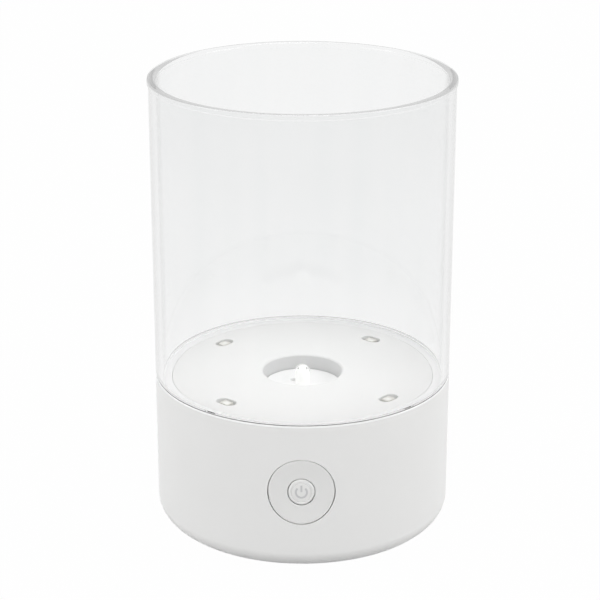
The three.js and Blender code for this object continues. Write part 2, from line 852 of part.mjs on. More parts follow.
[-1, 1].forEach((side, index) => {
  const mesh = add(`switch_board_screw_${index + 1}`, boardScrew(boardThickness), brightMetal);
  mesh.rotation.x = -Math.PI / 2;
  const screwX = side * (switchBoardWidth / 2 - switchBossInset);
  mesh.position.set(screwX, switchBoardBack + touchGap - bodyRadius, buttonHeight);
});

// Main board on the cover's posts

function mainBoard() {
  const half = mainBoardWidth / 2;
  const board = block([-half, mainBoardFront, mainBoardBottom], [half, mainBoardBack, mainBoardTop]);
  const holes = [];
  for (const y of postRows) {
    for (const x of [-postX, postX]) {
      const hole = post(boardScrewShaft + clearance, mainBoardBottom - overrun, mainBoardTop + overrun);
      holes.push(hole.translate(x, y, 0));
    }
  }
  return shaped([board], holes);
}

add("main_board", mainBoard(), boardGreen);

postRows.forEach((y, row) => {
  [-postX, postX].forEach((x, column) => {
    const name = `main_board_screw_${row * 2 + column + 1}`;
    const mesh = add(name, boardScrew(mainBoardThickness), brightMetal);
    mesh.position.set(x, y, mainBoardTop + touchGap);
  });
});

// Controller chip with two rows of legs

function controllerChip() {
  const halfLength = chipLength / 2;
  const halfWidth = chipWidth / 2;
  const body = block([-halfWidth, -halfLength, chipLegThickness], [halfWidth, halfLength, chipHeight]);
  const legs = [];
  for (const side of [-1, 1]) {
    for (const step of chipLegSteps) {
      const legY = step * chipLegPitch;
      const shoulder = chipHeight / 2;
      const inner = side * (halfWidth - chipLegReach / 2);
      const knee = side * (halfWidth + chipLegReach / 2);
      const toe = side * (halfWidth + chipLegReach);
      const shank = block(
        [Math.min(inner, knee), legY - chipLegWidth / 2, shoulder - chipLegThickness],
        [Math.max(inner, knee), legY + chipLegWidth / 2, shoulder]
      );
      const drop = block(
        [Math.min(knee, knee - side * chipLegThickness), legY - chipLegWidth / 2, 0],
        [Math.max(knee, knee - side * chipLegThickness), legY + chipLegWidth / 2, shoulder]
      );
      const pad = block(
        [Math.min(knee - side * chipLegThickness, toe), legY - chipLegWidth / 2, 0],
        [Math.max(knee - side * chipLegThickness, toe), legY + chipLegWidth / 2, chipLegThickness]
      );
      legs.push(shank, drop, pad);
    }
  }
  return shaped([body, ...legs]);
}

const onBoard = mainBoardTop + touchGap;
const partRow = mainBoardFront + mainBoardLength / 2;
const chip = add("controller_chip", controllerChip(), blackPlastic);
chip.position.set(0, partRow, onBoard);

// Capacitor can with its crimp groove, and a square inductor

const [grooveLow, grooveMiddle, grooveHigh] = capacitorGrooveShares.map((share) => share * capacitorHeight);
const capacitorCan = turned(
  corners(
    [0, 0],
    [capacitorRadius, 0],
    [capacitorRadius, grooveLow],
    [capacitorRadius - capacitorGroove, grooveMiddle],
    [capacitorRadius, grooveHigh],
    [capacitorRadius, capacitorHeight - capacitorGroove],
    [capacitorRadius - capacitorGroove, capacitorHeight],
    [0, capacitorHeight]
  ),
  smallSides
);
const capacitor = add("capacitor", capacitorCan, brightMetal);
capacitor.position.set(capacitorRadius + touchGap - mainBoardWidth / 2, partRow, onBoard);

function inductorOutline() {
  const half = inductorSize / 2;
  const cut = half - inductorChamfer;
  const outline = new THREE.Shape();
  outline.moveTo(cut, -half);
  outline.lineTo(half, -cut);
  outline.lineTo(half, cut);
  outline.lineTo(cut, half);
  outline.lineTo(-cut, half);
  outline.lineTo(-half, cut);
  outline.lineTo(-half, -cut);
  outline.lineTo(-cut, -half);
  return outline;
}

const inductor = add("inductor", prism(inductorOutline(), inductorHeight), blackPlastic);
inductor.position.set(mainBoardWidth / 2 - inductorSize / 2 - touchGap, partRow, onBoard);

// Inlet: folded metal shell with a contact tongue, mouth just inside the back wall

function powerSocket() {
  const outer = prism(slotOutline(socketWidth, socketHeight), socketLength);
  const cavity = prism(
    slotOutline(socketWidth - socketWall * 2, socketHeight - socketWall * 2),
    socketLength
  ).translate(0, 0, socketWall * 2);
  const tongue = block(
    [-socketTongueWidth / 2, -socketTongueThickness / 2, socketWall],
    [socketTongueWidth / 2, socketTongueThickness / 2, socketWall * 2 + socketTongueLength]
  );
  const hollow = shaped([outer], [cavity]);
  const socket = facingBack(shaped([hollow, tongue]));
  return socket.translate(0, bodyRadius - socketInset - socketLength, socketMiddle);
}

add("power_socket", powerSocket(), brightMetal);

// Wire headers: a box standing on Z = 0 with its mouth towards the given side

function header(mouthUp) {
  const half = headerWidth / 2;
  const body = block([-half, 0, 0], [half, headerDepth, headerHeight]);
  const low = [headerWall - half, headerWall, headerWall];
  const high = [half - headerWall, headerDepth - headerWall, headerHeight - headerWall];
  if (mouthUp) {
    low[2] = headerHeight - headerMouth;
    high[2] = headerHeight + overrun;
  } else {
    low[1] = -overrun;
    high[1] = headerMouth;
  }
  return shaped([body], [block(low, high)]);
}

const headerMiddle = onBoard + headerHeight / 2;
for (const [name, side] of [["main_switch_header", 1], ["main_led_header", -1]]) {
  const mesh = add(name, header(false), headerCream);
  mesh.position.set(side * headerSpread, mainBoardFront, onBoard);
}

const switchHeaderX = switchSize / 2 + headerWidth / 2 + overrun;
const switchHeader = facingBack(header(true)).translate(
  switchHeaderX,
  switchBoardBack + touchGap - bodyRadius,
  buttonHeight + headerDepth / 2
);
add("switch_header", switchHeader, headerCream);

const hangingHeader = header(true).rotateX(Math.PI).translate(0, headerDepth / 2, 0);
const ledHeader = add("led_header", hangingHeader, headerCream);
ledHeader.rotation.z = ledHeaderTurn;
ledHeader.position.copy(onRing(ledHeaderRing, ledHeaderTurn, ledBoardBottom - touchGap));

// Two-core leads: each leaves one fitting straight and enters the next one straight

function lead(start, startPull, end, endPull) {
  const route = new THREE.CubicBezierCurve3(
    start,
    start.clone().add(startPull),
    end.clone().add(endPull),
    end
  );
  const section = new THREE.Shape();
  const bulge = leadThickness / 2;
  const core = (leadWidth - leadThickness) / 2;
  section.absarc(core, 0, bulge, -Math.PI / 2, Math.PI / 2);
  section.absarc(-core, 0, bulge, Math.PI / 2, (Math.PI * 3) / 2);
  return new THREE.ExtrudeGeometry(section, {
    steps: leadSteps,
    extrudePath: route,
    curveSegments: leadArcSteps,
    bevelEnabled: false,
  });
}

const interior = seamHeight - headerMiddle;
const mainEntry = (side) =>
  new THREE.Vector3(side * headerSpread, mainBoardFront + headerPlugIn, headerMiddle);
const mainPull = new THREE.Vector3(0, -interior * leadPullShare, 0);

const switchExit = new THREE.Vector3(
  switchHeaderX,
  switchBoardBack + touchGap + headerHeight - headerPlugIn - bodyRadius,
  buttonHeight
);
const switchPull = new THREE.Vector3(0, interior * leadPullShare, 0);
add("switch_lead", lead(switchExit, switchPull, mainEntry(1), mainPull), leadGrey);

const ledMouth = ledBoardBottom - touchGap - headerHeight;
const ledExit = onRing(ledHeaderRing, ledHeaderTurn, ledMouth + headerPlugIn);
const ledPull = new THREE.Vector3(0, 0, -interior * leadPullShare);
add("led_lead", lead(ledExit, ledPull, mainEntry(-1), mainPull), leadGrey);

const jumperStart = onRing(jumperStartRing, jumperTurn, wellBoardBottom - touchGap);
const jumperEnd = onRing(jumperEndRing, jumperTurn, ledBoardBottom - touchGap);
const jumperDip = wellDepth + collarBelowBoard;
add(
  "centre_led_lead",
  lead(
    jumperStart,
    new THREE.Vector3(0, 0, -jumperDip),
    jumperEnd,
    new THREE.Vector3(0, 0, wellBoardBottom - ledBoardBottom - jumperDip)
  ),
  leadGrey
);

export default lamp;
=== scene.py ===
import cmath
import functools
import math

import bmesh
import bpy
from mathutils import Matrix, Vector


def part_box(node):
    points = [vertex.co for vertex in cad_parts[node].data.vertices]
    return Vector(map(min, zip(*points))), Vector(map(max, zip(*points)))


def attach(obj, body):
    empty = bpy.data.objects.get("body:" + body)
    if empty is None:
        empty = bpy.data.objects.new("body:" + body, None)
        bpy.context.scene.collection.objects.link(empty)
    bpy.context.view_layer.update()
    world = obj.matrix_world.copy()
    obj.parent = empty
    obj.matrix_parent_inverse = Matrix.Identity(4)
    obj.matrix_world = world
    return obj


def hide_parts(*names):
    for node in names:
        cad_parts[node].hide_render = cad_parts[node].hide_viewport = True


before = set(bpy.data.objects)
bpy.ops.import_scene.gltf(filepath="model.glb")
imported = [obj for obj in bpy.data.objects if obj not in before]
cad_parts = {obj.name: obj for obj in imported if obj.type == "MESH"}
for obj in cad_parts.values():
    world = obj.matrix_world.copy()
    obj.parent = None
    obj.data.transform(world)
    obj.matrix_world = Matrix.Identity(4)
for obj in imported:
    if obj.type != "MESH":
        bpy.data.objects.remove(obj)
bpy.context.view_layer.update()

mm = 0.001

# Base shell. The white casing is one injection moulding with a satin skin: a round wall with a full
# lower edge, a recess for the plate, a stepped rim that the cylinder stands on with two slots for its
# tabs, and, inside, four screw columns on ribs and two bosses for the switch board.

shell_low, shell_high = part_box("base_shell")
base_radius = shell_high.x
base_bottom = shell_low.z
seam = shell_high.z
wall = 2.2 * mm
lower_round = 6.2 * mm
inner_round = 4 * mm
top_round = 0.45 * mm
moulded_edge = 0.25 * mm
small_edge = 0.1 * mm
play = 0.3 * mm
overrun = 1 * mm
cylinder_seat = base_radius - 2.4 * mm
plate_top = seam - 0.7 * mm
plate_thickness = 1.8 * mm
plate_opening = base_radius - 5.4 * mm
ledge_inner = plate_opening - 1.7 * mm
ledge_top = plate_top - plate_thickness - play
ledge_bottom = ledge_top - 1.4 * mm
flange_bottom = plate_top - 2.1 * mm
shell_inner = base_radius - wall
cover_seat = base_radius - 6.5 * mm
shelf_inner = cover_seat - 3.1 * mm
shelf_bottom = base_bottom + 2.3 * mm
shelf_top = shelf_bottom + 2 * mm
column_radius = 3.2 * mm
column_top = shelf_bottom + 19 * mm
column_ring = shelf_inner - column_radius - play
column_rib = 1.8 * mm
screw_bore = 1.25 * mm
cover_screw_reach = 10 * mm
button_height = seam - 22.95 * mm
dish_width = 21.1 * mm
dish_tallness = 22.15 / 21.1
dish_gap = 0.25 * mm
boss_spread = 16 * mm
boss_radius = 2.6 * mm
boss_length = 10.6 * mm
boss_root = 4 * mm
boss_bore_depth = 4 * mm
tab_turn = math.radians(4)
tab_spread = math.radians(41)
tab_slot_width = 5 * mm
tab_slot_depth = 3.2 * mm
tab_slot_inner = cylinder_seat - 1.5 * mm
tab_slot_outer = cylinder_seat + 1.4 * mm
button_hole_depth = 8 * mm
socket_length = 9 * mm
socket_width = 3.3 * mm
socket_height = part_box("power_socket")[0].z + socket_width / 2
recess_length = 12.6 * mm
recess_width = 7 * mm
recess_depth = 1.1 * mm
recess_mouth = 0.05 * mm
slot_overrun = 2 * mm
round_sides = 240
crease = math.radians(32)


def outline(corners, steps=5):
    """Points of a closed outline from corners of distance, height and the radius of their round."""
    points = []
    for index, (across, up, radius) in enumerate(corners):
        here = complex(across, up)
        if not radius:
            points.append(here)
            continue
        to_last = complex(*corners[index - 1][:2]) - here
        to_next = complex(*corners[(index + 1) % len(corners)][:2]) - here
        to_last /= abs(to_last)
        to_next /= abs(to_next)
        half = abs(cmath.phase(to_next / to_last)) / 2
        start = here + to_last * radius / math.tan(half)
        end = here + to_next * radius / math.tan(half)
        middle = to_last + to_next
        centre = here + middle / abs(middle) * radius / math.sin(half)
        sweep = cmath.phase((end - centre) / (start - centre))
        for step in range(steps + 1):
            points.append(centre + (start - centre) * cmath.exp(1j * sweep * step / steps))
    return points


def smooth(mesh):
    """Smooth faces, and sharp edges where the surface really turns a corner."""
    mesh.shade_smooth()
    mesh.set_sharp_from_angle(angle=crease)


def filled(name, rows, closed):
    """A solid from rows of points. Closed, its last row joins its first, and else both ends are capped."""
    form = bmesh.new()
    rings = [[form.verts.new(point) for point in row] for row in rows]
    pairs = list(zip(rings, rings[1:]))
    if closed:
        pairs.append((rings[-1], rings[0]))
    else:
        for ring in (rings[0], rings[-1]):
            if len(ring) > 2:
                form.faces.new(ring)
    for low, high in pairs:
        for side in range(max(len(low), len(high))):
            corners = [
                low[side % len(low)],
                low[(side + 1) % len(low)],
                high[(side + 1) % len(high)],
                high[side % len(high)],
            ]
            corners = list(dict.fromkeys(corners))
            if len(corners) > 2:
                form.faces.new(corners)
    bmesh.ops.recalc_face_normals(form, faces=form.faces)
    mesh = bpy.data.meshes.new(name)
    form.to_mesh(mesh)
    form.free()
    smooth(mesh)
    piece = bpy.data.objects.new(name, mesh)
    bpy.context.scene.collection.objects.link(piece)
    return piece


def turned(name, points, sides=round_sides):
    """A form turned about Z. An outline that touches the axis is solid, and any other is a ring."""
    around = [cmath.exp(2j * math.pi * side / sides) for side in range(sides)]
    rows = []
    for point in points:
        reach, height = point.real, point.imag
        if reach:
            rows.append([Vector((reach * turn.real, reach * turn.imag, height)) for turn in around])
        else:
            rows.append([Vector((0, 0, height))])
    return filled(name, rows, closed=all(point.real for point in points))


def post(radius, low, high, sides=64, soft=0):
    """A solid round bar about Z, with its upper edge rounded by soft."""
    corners = [(0, low, 0), (radius, low, 0), (radius, high, soft), (0, high, 0)]
    return turned("post", outline(corners), sides)


def block(left, right, width, low, high):
    """A box from left to right along X and from low to high, with half of its width on each side of X."""
    ring = [(left, -width / 2), (right, -width / 2), (right, width / 2), (left, width / 2)]
    rows = [[Vector((x, y, z)) for x, y in ring] for z in (low, high)]
    return filled("block", rows, closed=False)


def moved(piece, *steps):
    """The piece with its mesh moved by each step in turn."""
    for step in steps:
        piece.data.transform(step)
    return piece


def shifted(x, y, z):
    """A step that moves a form."""
    return Matrix.Translation((x, y, z))


def swung(angle):
    """A step that turns a form about Z."""
    return Matrix.Rotation(angle, 4, "Z")


def carved(piece, tools, operation):
    """The piece with the tools joined on or cut out."""
    for tool in tools:
        change = piece.modifiers.new("carve", "BOOLEAN")
        change.operation = operation
        change.solver = "EXACT"
        change.object = tool
    whole = piece.evaluated_get(bpy.context.evaluated_depsgraph_get())
    mesh = bpy.data.meshes.new_from_object(whole)
    piece.modifiers.clear()
    piece.data = mesh
    smooth(mesh)
    for tool in tools:
        bpy.data.objects.remove(tool)
    return piece


def upright(piece):
    """Turns a form that stands on Z so that its top looks along -Y."""
    return moved(piece, Matrix.Rotation(math.pi / 2, 4, "X"))


def into_front_wall(piece):
    """Stretches a turned form into the button's oval and bends it to the round wall."""
    upright(piece)
    moved(piece, Matrix.Diagonal((1, 1, dish_tallness, 1)), shifted(0, -base_radius, button_height))
    for vertex in piece.data.vertices:
        x = vertex.co.x
        vertex.co.y += base_radius - math.sqrt(base_radius ** 2 - x ** 2)
    piece.data.update()
    return piece


def stadium(length, width, steps=16):
    """Points of a slot outline with round ends, long in X."""
    straight = (length - width) / 2
    points = []
    for side in (1, -1):
        for step in range(steps + 1):
            angle = math.pi * (step / steps - 0.5)
            across = straight + width / 2 * math.cos(angle)
            points.append((side * across, side * width / 2 * math.sin(angle)))
    return points


def slot_cutter(length, width, low, high, flare, steps=5):
    """A slot-shaped cutter whose mouth opens by a small round below high, and that runs on above it."""
    levels = [(low, 0)]
    for step in range(steps + 1):
        angle = math.pi / 2 * step / steps
        levels.append((high - flare * (1 - math.sin(angle)), 2 * flare * (1 - math.cos(angle))))
    levels.append((high + slot_overrun, 2 * flare))
    rows = [[Vector((x, y, z)) for x, y in stadium(length + grow, width + grow)] for z, grow in levels]
    return filled("slot", rows, closed=False)


class Wire:
    """A node's output. Sums and comparisons with it add their Math nodes."""

    def __init__(self, tree, socket):
        self.tree = tree
        self.socket = socket

    def sum(self, operation, first, second):
        maths = self.tree.nodes.new("ShaderNodeMath")
        maths.operation = operation
        for place, value in enumerate((first, second)):
            if isinstance(value, Wire):
                self.tree.links.new(value.socket, maths.inputs[place])
            else:
                maths.inputs[place].default_value = value
        return Wire(self.tree, maths.outputs[0])

    def __add__(self, other):
        return self.sum("ADD", self, other)

    def __radd__(self, other):
        return self.sum("ADD", other, self)

    def __sub__(self, other):
        return self.sum("SUBTRACT", self, other)

    def __rsub__(self, other):
        return self.sum("SUBTRACT", other, self)

    def __mul__(self, other):
        return self.sum("MULTIPLY", self, other)

    def __rmul__(self, other):
        return self.sum("MULTIPLY", other, self)

    def __gt__(self, other):
        return self.sum("GREATER_THAN", self, other)


class Nodes:
    """A node tree. All its nodes but the Math nodes come from add."""

    def __init__(self, tree):
        self.tree = tree

    def add(self, kind, settings=None, sockets=None, output=0):
        """A node of that kind with its settings, then the values or wires of its sockets."""
        node = self.tree.nodes.new(kind)
        for name, value in (settings or {}).items():
            if name == "stops":
                for index, (position, level) in enumerate(value):
                    stops = node.color_ramp.elements
                    stop = stops[index] if index < 2 else stops.new(position)
                    stop.position = position
                    stop.color = (level, level, level, 1)
            else:
                setattr(node, name, value)
        for name, value in (sockets or {}).items():
            if isinstance(value, Wire):
                self.tree.links.new(value.socket, node.inputs[name])
            else:
                node.inputs[name].default_value = value
        return Wire(self.tree, node.outputs[output])

    def rise(self, value, start, end, interpolation="LINEAR"):
        """0 to 1 as a value goes from start to end."""
        sockets = {"Value": value, "From Min": start, "From Max": end}
        return self.add("ShaderNodeMapRange", {"interpolation_type": interpolation}, sockets)


class Finish(Nodes):
    """A material in the making. Uniform values go straight to its shader's sockets."""

    def __init__(self, name, uniform):
        self.material = bpy.data.materials.new(name)
        self.material.use_nodes = True
        super().__init__(self.material.node_tree)
        self.shader = self.tree.nodes["Principled BSDF"]
        self.place = self.add("ShaderNodeTexCoord", output="Object")
        for socket, value in uniform.items():
            self.shader.inputs[socket].default_value = value

    @functools.cached_property
    def height(self):
        """Each point's height."""
        return self.add("ShaderNodeSeparateXYZ", {}, {0: self.place}, 2)

    @functools.cached_property
    def reach(self):
        """Each point's distance from the lamp's axis."""
        flat = self.add("ShaderNodeVectorMath", {"operation": "MULTIPLY"}, {0: self.place, 1: (1, 1, 0)})
        return self.add("ShaderNodeVectorMath", {"operation": "LENGTH"}, {0: flat}, 1)

    def feed(self, socket, wire):
        """Lets a wire drive one of the shader's sockets."""
        self.tree.links.new(wire.socket, self.shader.inputs[socket])

    def noise(self, size, detail=3.0, stretch=None):
        """Noise from 0 to 1 whose patches are about size across, in metres."""
        place = self.place
        if stretch:
            place = self.add("ShaderNodeMapping", {}, {"Vector": place, "Scale": stretch})
        sockets = {"Vector": place, "Scale": 1 / size, "Detail": detail, "Roughness": 0.55}
        return self.add("ShaderNodeTexNoise", {}, sockets)

    def mixed(self, share, first, second):
        """A colour between two colours."""
        return self.add("ShaderNodeMix", {"data_type": "RGBA"}, {0: share, 6: first, 7: second}, 2)

    def bump(self, height, depth, below=None):
        """Relief of that depth in metres."""
        sockets = {"Height": height, "Distance": depth, "Strength": 1.0}
        if below:
            sockets["Normal"] = below
        return self.add("ShaderNodeBump", {}, sockets)

    def paint_over(self, share, colour):
        """Covers the base colour so far with another, by a share from 0 to 1."""
        base = Wire(self.tree, self.shader.inputs["Base Color"].links[0].from_socket)
        self.feed("Base Color", self.mixed(share, base, colour))

    def light_up(self, share, strength):
        """Shows plain white light of that strength instead of the finish, by a share from 0 to 1."""
        light = self.add("ShaderNodeEmission", {}, {"Color": (1, 1, 1, 1), "Strength": strength})
        own = Wire(self.tree, self.shader.outputs[0])
        surface = self.add("ShaderNodeMixShader", {}, {0: share, 1: own, 2: light})
        self.tree.links.new(surface.socket, self.tree.nodes["Material Output"].inputs["Surface"])


def paint(red, green, blue):
    """A colour from its levels out of 255."""
    linear = [((level / 255 + 0.055) / 1.055) ** 2.4 for level in (red, green, blue)]
    return (*linear, 1.0)


def moulded_plastic(name, pale, deep, roughness, grain=0.12 * mm, grain_depth=0.002 * mm):
    """Moulded plastic: a cloudy colour, a fine spark-eroded grain and slow sink waves."""
    finish = Finish(name, {"IOR": 1.5})
    cloud = finish.noise(18 * mm)
    speck = finish.noise(0.5 * mm, 2.0)
    finish.feed("Base Color", finish.mixed(cloud * 0.75 + speck * 0.25, pale, deep))
    finish.feed("Roughness", finish.noise(6 * mm) * 0.1 + (roughness - 0.05))
    sink = finish.bump(finish.noise(22 * mm, 1.0), 0.03 * mm)
    finish.feed("Normal", finish.bump(finish.noise(grain, 2.0), grain_depth, sink))
    return finish


def dressed(piece, finish, body, slot, *nodes):
    """Gives a new piece its finish, its body and the solids that it stands for; its slot is not used."""
    piece.data.materials.clear()
    piece.data.materials.append(finish.material)
    even_shine = piece.modifiers.new("even_shine", "WEIGHTED_NORMAL")
    even_shine.keep_sharp = True
    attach(piece, body)
    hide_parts(*nodes)
    return piece


def between(finish, value, limits, blur):
    """1 where a value lies between two limits, with soft ends, and 0 elsewhere."""
    start, end = [finish.rise(value, limit - blur, limit + blur) for limit in limits]
    return start * (1 - end)


def ring_mask(finish, heights, reaches, height_blur=0.03 * mm, reach_blur=0.03 * mm):
    """1 in the ring between two heights and two distances from the axis, and 0 elsewhere."""
    in_height = between(finish, finish.height, heights, height_blur)
    return in_height * between(finish, finish.reach, reaches, reach_blur)


white_shell = moulded_plastic("white_shell", paint(240, 240, 239), paint(236, 236, 235), 0.38)
# Painted light in the shell's colour: the paler outer top edge is a painted highlight, the paler ring inside
# the cylinder's foot is painted light, the dark line at the seam is a painted shadow, and the dark insides
# of the slots are painted shade.
painted_edge_highlight = ((seam - 0.75 * mm, seam + overrun), (base_radius - 0.8 * mm, base_radius + overrun))
painted_ring_light = ((plate_top - 0.1 * mm, seam + overrun), (plate_opening - 0.2 * mm, cylinder_seat + 0.9 * mm))
painted_seam_shadow = ((seam - 0.16 * mm, seam + overrun), (base_radius - 0.75 * mm, base_radius + overrun))
slot_shade_heights = (seam - tab_slot_depth - 0.1 * mm, plate_top - 0.15 * mm)
painted_slot_shade = (slot_shade_heights, (tab_slot_inner - 0.1 * mm, tab_slot_outer + 0.1 * mm))
for (heights, reaches), level in ((painted_edge_highlight, 255), (painted_ring_light, 251), (painted_seam_shadow, 120), (painted_slot_shade, 84)):
    white_shell.paint_over(ring_mask(white_shell, heights, reaches), paint(level, level, level))

shell_outline = outline(
    [
        (shelf_inner, shelf_bottom, moulded_edge),
        (cover_seat, shelf_bottom, 0),
        (cover_seat, base_bottom, moulded_edge),
        (base_radius, base_bottom, lower_round),
        (base_radius, seam, top_round),
        (cylinder_seat, seam, moulded_edge / 2),
        (cylinder_seat, plate_top, moulded_edge / 2),
        (plate_opening, plate_top, small_edge),
        (plate_opening, ledge_top, 0),
        (ledge_inner, ledge_top, moulded_edge),
        (ledge_inner, ledge_bottom, moulded_edge),
        (plate_opening + play, ledge_bottom, moulded_edge),
        ((plate_opening + shell_inner) / 2, flange_bottom, 0),
        (shell_inner, flange_bottom, moulded_edge),
        (shell_inner, shelf_top, inner_round),
        (shelf_inner, shelf_top, moulded_edge),
    ],
    steps=8,
)
base_shell = turned("shell", shell_outline)
fittings = []
bores = []
for quarter in range(4):
    swing = swung(math.pi * (quarter / 2 + 1 / 4))
    column = post(column_radius, shelf_bottom + play, column_top, soft=moulded_edge)
    bore = post(screw_bore, shelf_bottom - overrun, shelf_bottom + cover_screw_reach)
    for form in (column, bore):
        moved(form, shifted(column_ring, 0, 0), swing)
    rib_foot = (shelf_bottom + shelf_top) / 2
    rib = block(column_ring, base_radius - wall / 2, column_rib, rib_foot, column_top - column_rib)
    moved(rib, swing)
    fittings += [column, rib]
    bores.append(bore)
for side in (-1, 1):
    boss = upright(post(boss_radius, 0, boss_length - boss_root))
    bore = upright(post(screw_bore, -overrun, boss_bore_depth))
    for form in (boss, bore):
        moved(form, shifted(side * boss_spread, boss_length - base_radius, button_height))
    fittings.append(boss)
    bores.append(bore)
    slot = block(tab_slot_inner, tab_slot_outer, tab_slot_width, seam - tab_slot_depth, seam + overrun)
    bores.append(moved(slot, swung(side * tab_spread + tab_turn - math.pi / 2)))
bores.append(into_front_wall(post(dish_width / 2 + dish_gap, -button_hole_depth, overrun, 160)))
to_back = Matrix.Rotation(-math.pi / 2, 4, "X")
slot_length = socket_length + 2 * play
slot_width = socket_width + 2 * play
plug_slot = slot_cutter(slot_length, slot_width, -wall - 2 * overrun, -recess_depth, play)
plug_recess = slot_cutter(recess_length, recess_width, -recess_depth, recess_mouth, play)
for form in (plug_slot, plug_recess):
    bores.append(moved(form, to_back, shifted(0, base_radius, socket_height)))
carved(base_shell, fittings, "UNION")
carved(base_shell, bores, "DIFFERENCE")
dressed(base_shell, white_shell, "base", "white_plastic", "base_shell")

# Power inlet. A folded steel shell round a contact tongue, plated bright, that stands on the main board
# with its mouth just inside the recess in the back wall. No cord is plugged in.

socket_low, socket_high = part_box("power_socket")
socket_wall = 0.35 * mm
socket_depth = socket_high.y - socket_low.y
tongue_length = 6.7 * mm
tongue_width = 0.7 * mm
tongue_tip = 5.3 * mm


def drawn_metal(name, colour, roughness):
    """Plated metal with fine rolling lines and slightly uneven shine."""
    finish = Finish(name, {"Metallic": 1.0})
    lines = finish.noise(0.4 * mm, 2.0, (1.0, 1.0, 0.06))
    dull = tuple(level * 0.86 for level in colour[:3]) + (1.0,)
    finish.feed("Base Color", finish.mixed(lines * 0.6 + finish.noise(3 * mm) * 0.4, colour, dull))
    finish.feed("Roughness", lines * 0.12 + (roughness - 0.06))
    finish.feed("Normal", finish.bump(lines, 0.002 * mm))
    return finish


nickel = drawn_metal("nickel_plate", paint(214, 214, 216), 0.36)
inlet_shell = slot_cutter(socket_length, socket_width, 0, socket_depth - slot_overrun, 0)
inlet_shell.name = "inlet_shell"
hollow_length = socket_length - 2 * socket_wall
hollow_width = socket_width - 2 * socket_wall
inlet_hollow = slot_cutter(hollow_length, hollow_width, 2 * socket_wall, socket_depth, 0)
carved(inlet_shell, [inlet_hollow], "DIFFERENCE")
tongue = block(-tongue_length / 2, tongue_length / 2, tongue_width, socket_wall, tongue_tip)
carved(inlet_shell, [tongue], "UNION")
moved(inlet_shell, to_back, shifted(0, socket_low.y, socket_height))
dressed(inlet_shell, nickel, "base", "bright_metal", "power_socket")

# Switch behind the button. A six millimetre push switch with a sliding plunger, soldered to a small
# green board that two screws hold to the shell's bosses, with a wire header beside it.


def kept(node, finish):
    """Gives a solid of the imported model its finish."""
    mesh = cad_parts[node].data
    mesh.materials.clear()
    mesh.materials.append(finish.material)


def board_finish(name, pale, deep):
    """A circuit board: solder mask over weave, with slightly raised copper that shows in patches."""
    finish = Finish(name, {"Roughness": 0.4, "IOR": 1.5})
    weave_sockets = {"Vector": finish.place, "Scale": 900.0, "Distortion": 1.5}
    weave = finish.add("ShaderNodeTexWave", {"wave_type": "BANDS"}, weave_sockets, 1)
    cell_sockets = {"Vector": finish.place, "Scale": 260.0, "Randomness": 0.7}
    cells = finish.add("ShaderNodeTexVoronoi", {"feature": "F1", "distance": "CHEBYCHEV"}, cell_sockets)
    tracks = finish.add("ShaderNodeValToRGB", {"stops": [(0.46, 0.0), (0.5, 1.0)]}, {"Fac": cells})
    finish.feed("Base Color", finish.mixed(tracks * 0.7 + weave * 0.15, pale, deep))
    finish.feed("Normal", finish.bump(tracks + weave * 0.1, 0.02 * mm))
    return finish


green_board = board_finish("green_board", paint(52, 120, 78), paint(36, 92, 58))
black_moulding = moulded_plastic("black_moulding", paint(34, 34, 36), paint(24, 24, 26), 0.45)
cream_nylon = moulded_plastic("cream_nylon", paint(236, 230, 212), paint(226, 219, 198), 0.42)
kept("switch_board", green_board)
kept("tact_switch", black_moulding)
kept("switch_plunger", cream_nylon)
kept("switch_header", cream_nylon)
for number in (1, 2):
    kept(f"switch_board_screw_{number}", nickel)

# Push button. A shallow oval finger dish snapped in from behind, and through it a round cap with a ring
# groove and a grey power symbol. Both are thin satin mouldings that follow the round wall.

dish_radius = dish_width / 2
dish_sink = 0.1 * mm
dish_depth = 0.3 * mm
dish_rim = 0.5 * mm
dish_lip = 1.9 * mm
dish_steps = 24
cap_radius = 4.2 * mm
cap_gap = 0.22 * mm
cap_proud = 0.15 * mm
cap_round = 0.4 * mm
dish_bore = cap_radius + cap_gap
bore_edge = 0.15 * mm
bore_bevel = 0.04 * mm
dish_inner_edge = dish_sink + dish_depth
lip_back = dish_inner_edge + dish_lip
flange_front = wall + play
flange_back = flange_front + 1.2 * mm
flange_radius = dish_radius + 1.7 * mm
flange_edge = 0.2 * mm
cap_face = dish_inner_edge - cap_proud
cap_flange_front = lip_back + play
cap_flange_back = cap_flange_front + 0.8 * mm
cap_flange_radius = cap_radius + 1.55 * mm
groove_outer = 3.32 * mm
groove_inner = 2.92 * mm
groove_bottom = cap_face + 0.25 * mm
groove_edge = 0.08 * mm
stem_radius = 1.6 * mm
stem_end = cap_flange_back + 2.3 * mm

dish_outline = outline(
    [
        (dish_bore, -lip_back, small_edge),
        (cap_flange_radius + play, -lip_back, 0),
        (cap_flange_radius + play, -flange_back, small_edge),
        (flange_radius, -flange_back, flange_edge),
        (flange_radius, -flange_front, flange_edge),
        (dish_radius, -flange_front, 0),
        (dish_radius, -dish_sink, flange_edge),
    ]
)
hollow_start = dish_radius - dish_rim
hollow_end = dish_bore + bore_edge
for step in range(1, dish_steps + 1):
    share = step / dish_steps
    depth = dish_sink + dish_depth * (1 - (1 - share) ** 2)
    dish_outline.append(complex(hollow_start + (hollow_end - hollow_start) * share, -depth))
dish_outline.append(complex(dish_bore + bore_bevel, -dish_inner_edge - bore_bevel))
dish_outline.append(complex(dish_bore, -dish_inner_edge - bore_edge))
dish = into_front_wall(turned("button_dish", dish_outline, 200))
dish_grey = moulded_plastic("dish_grey", paint(235, 235, 234), paint(230, 230, 229), 0.37)
dressed(dish, dish_grey, "base", "dish_grey", "button_bezel")

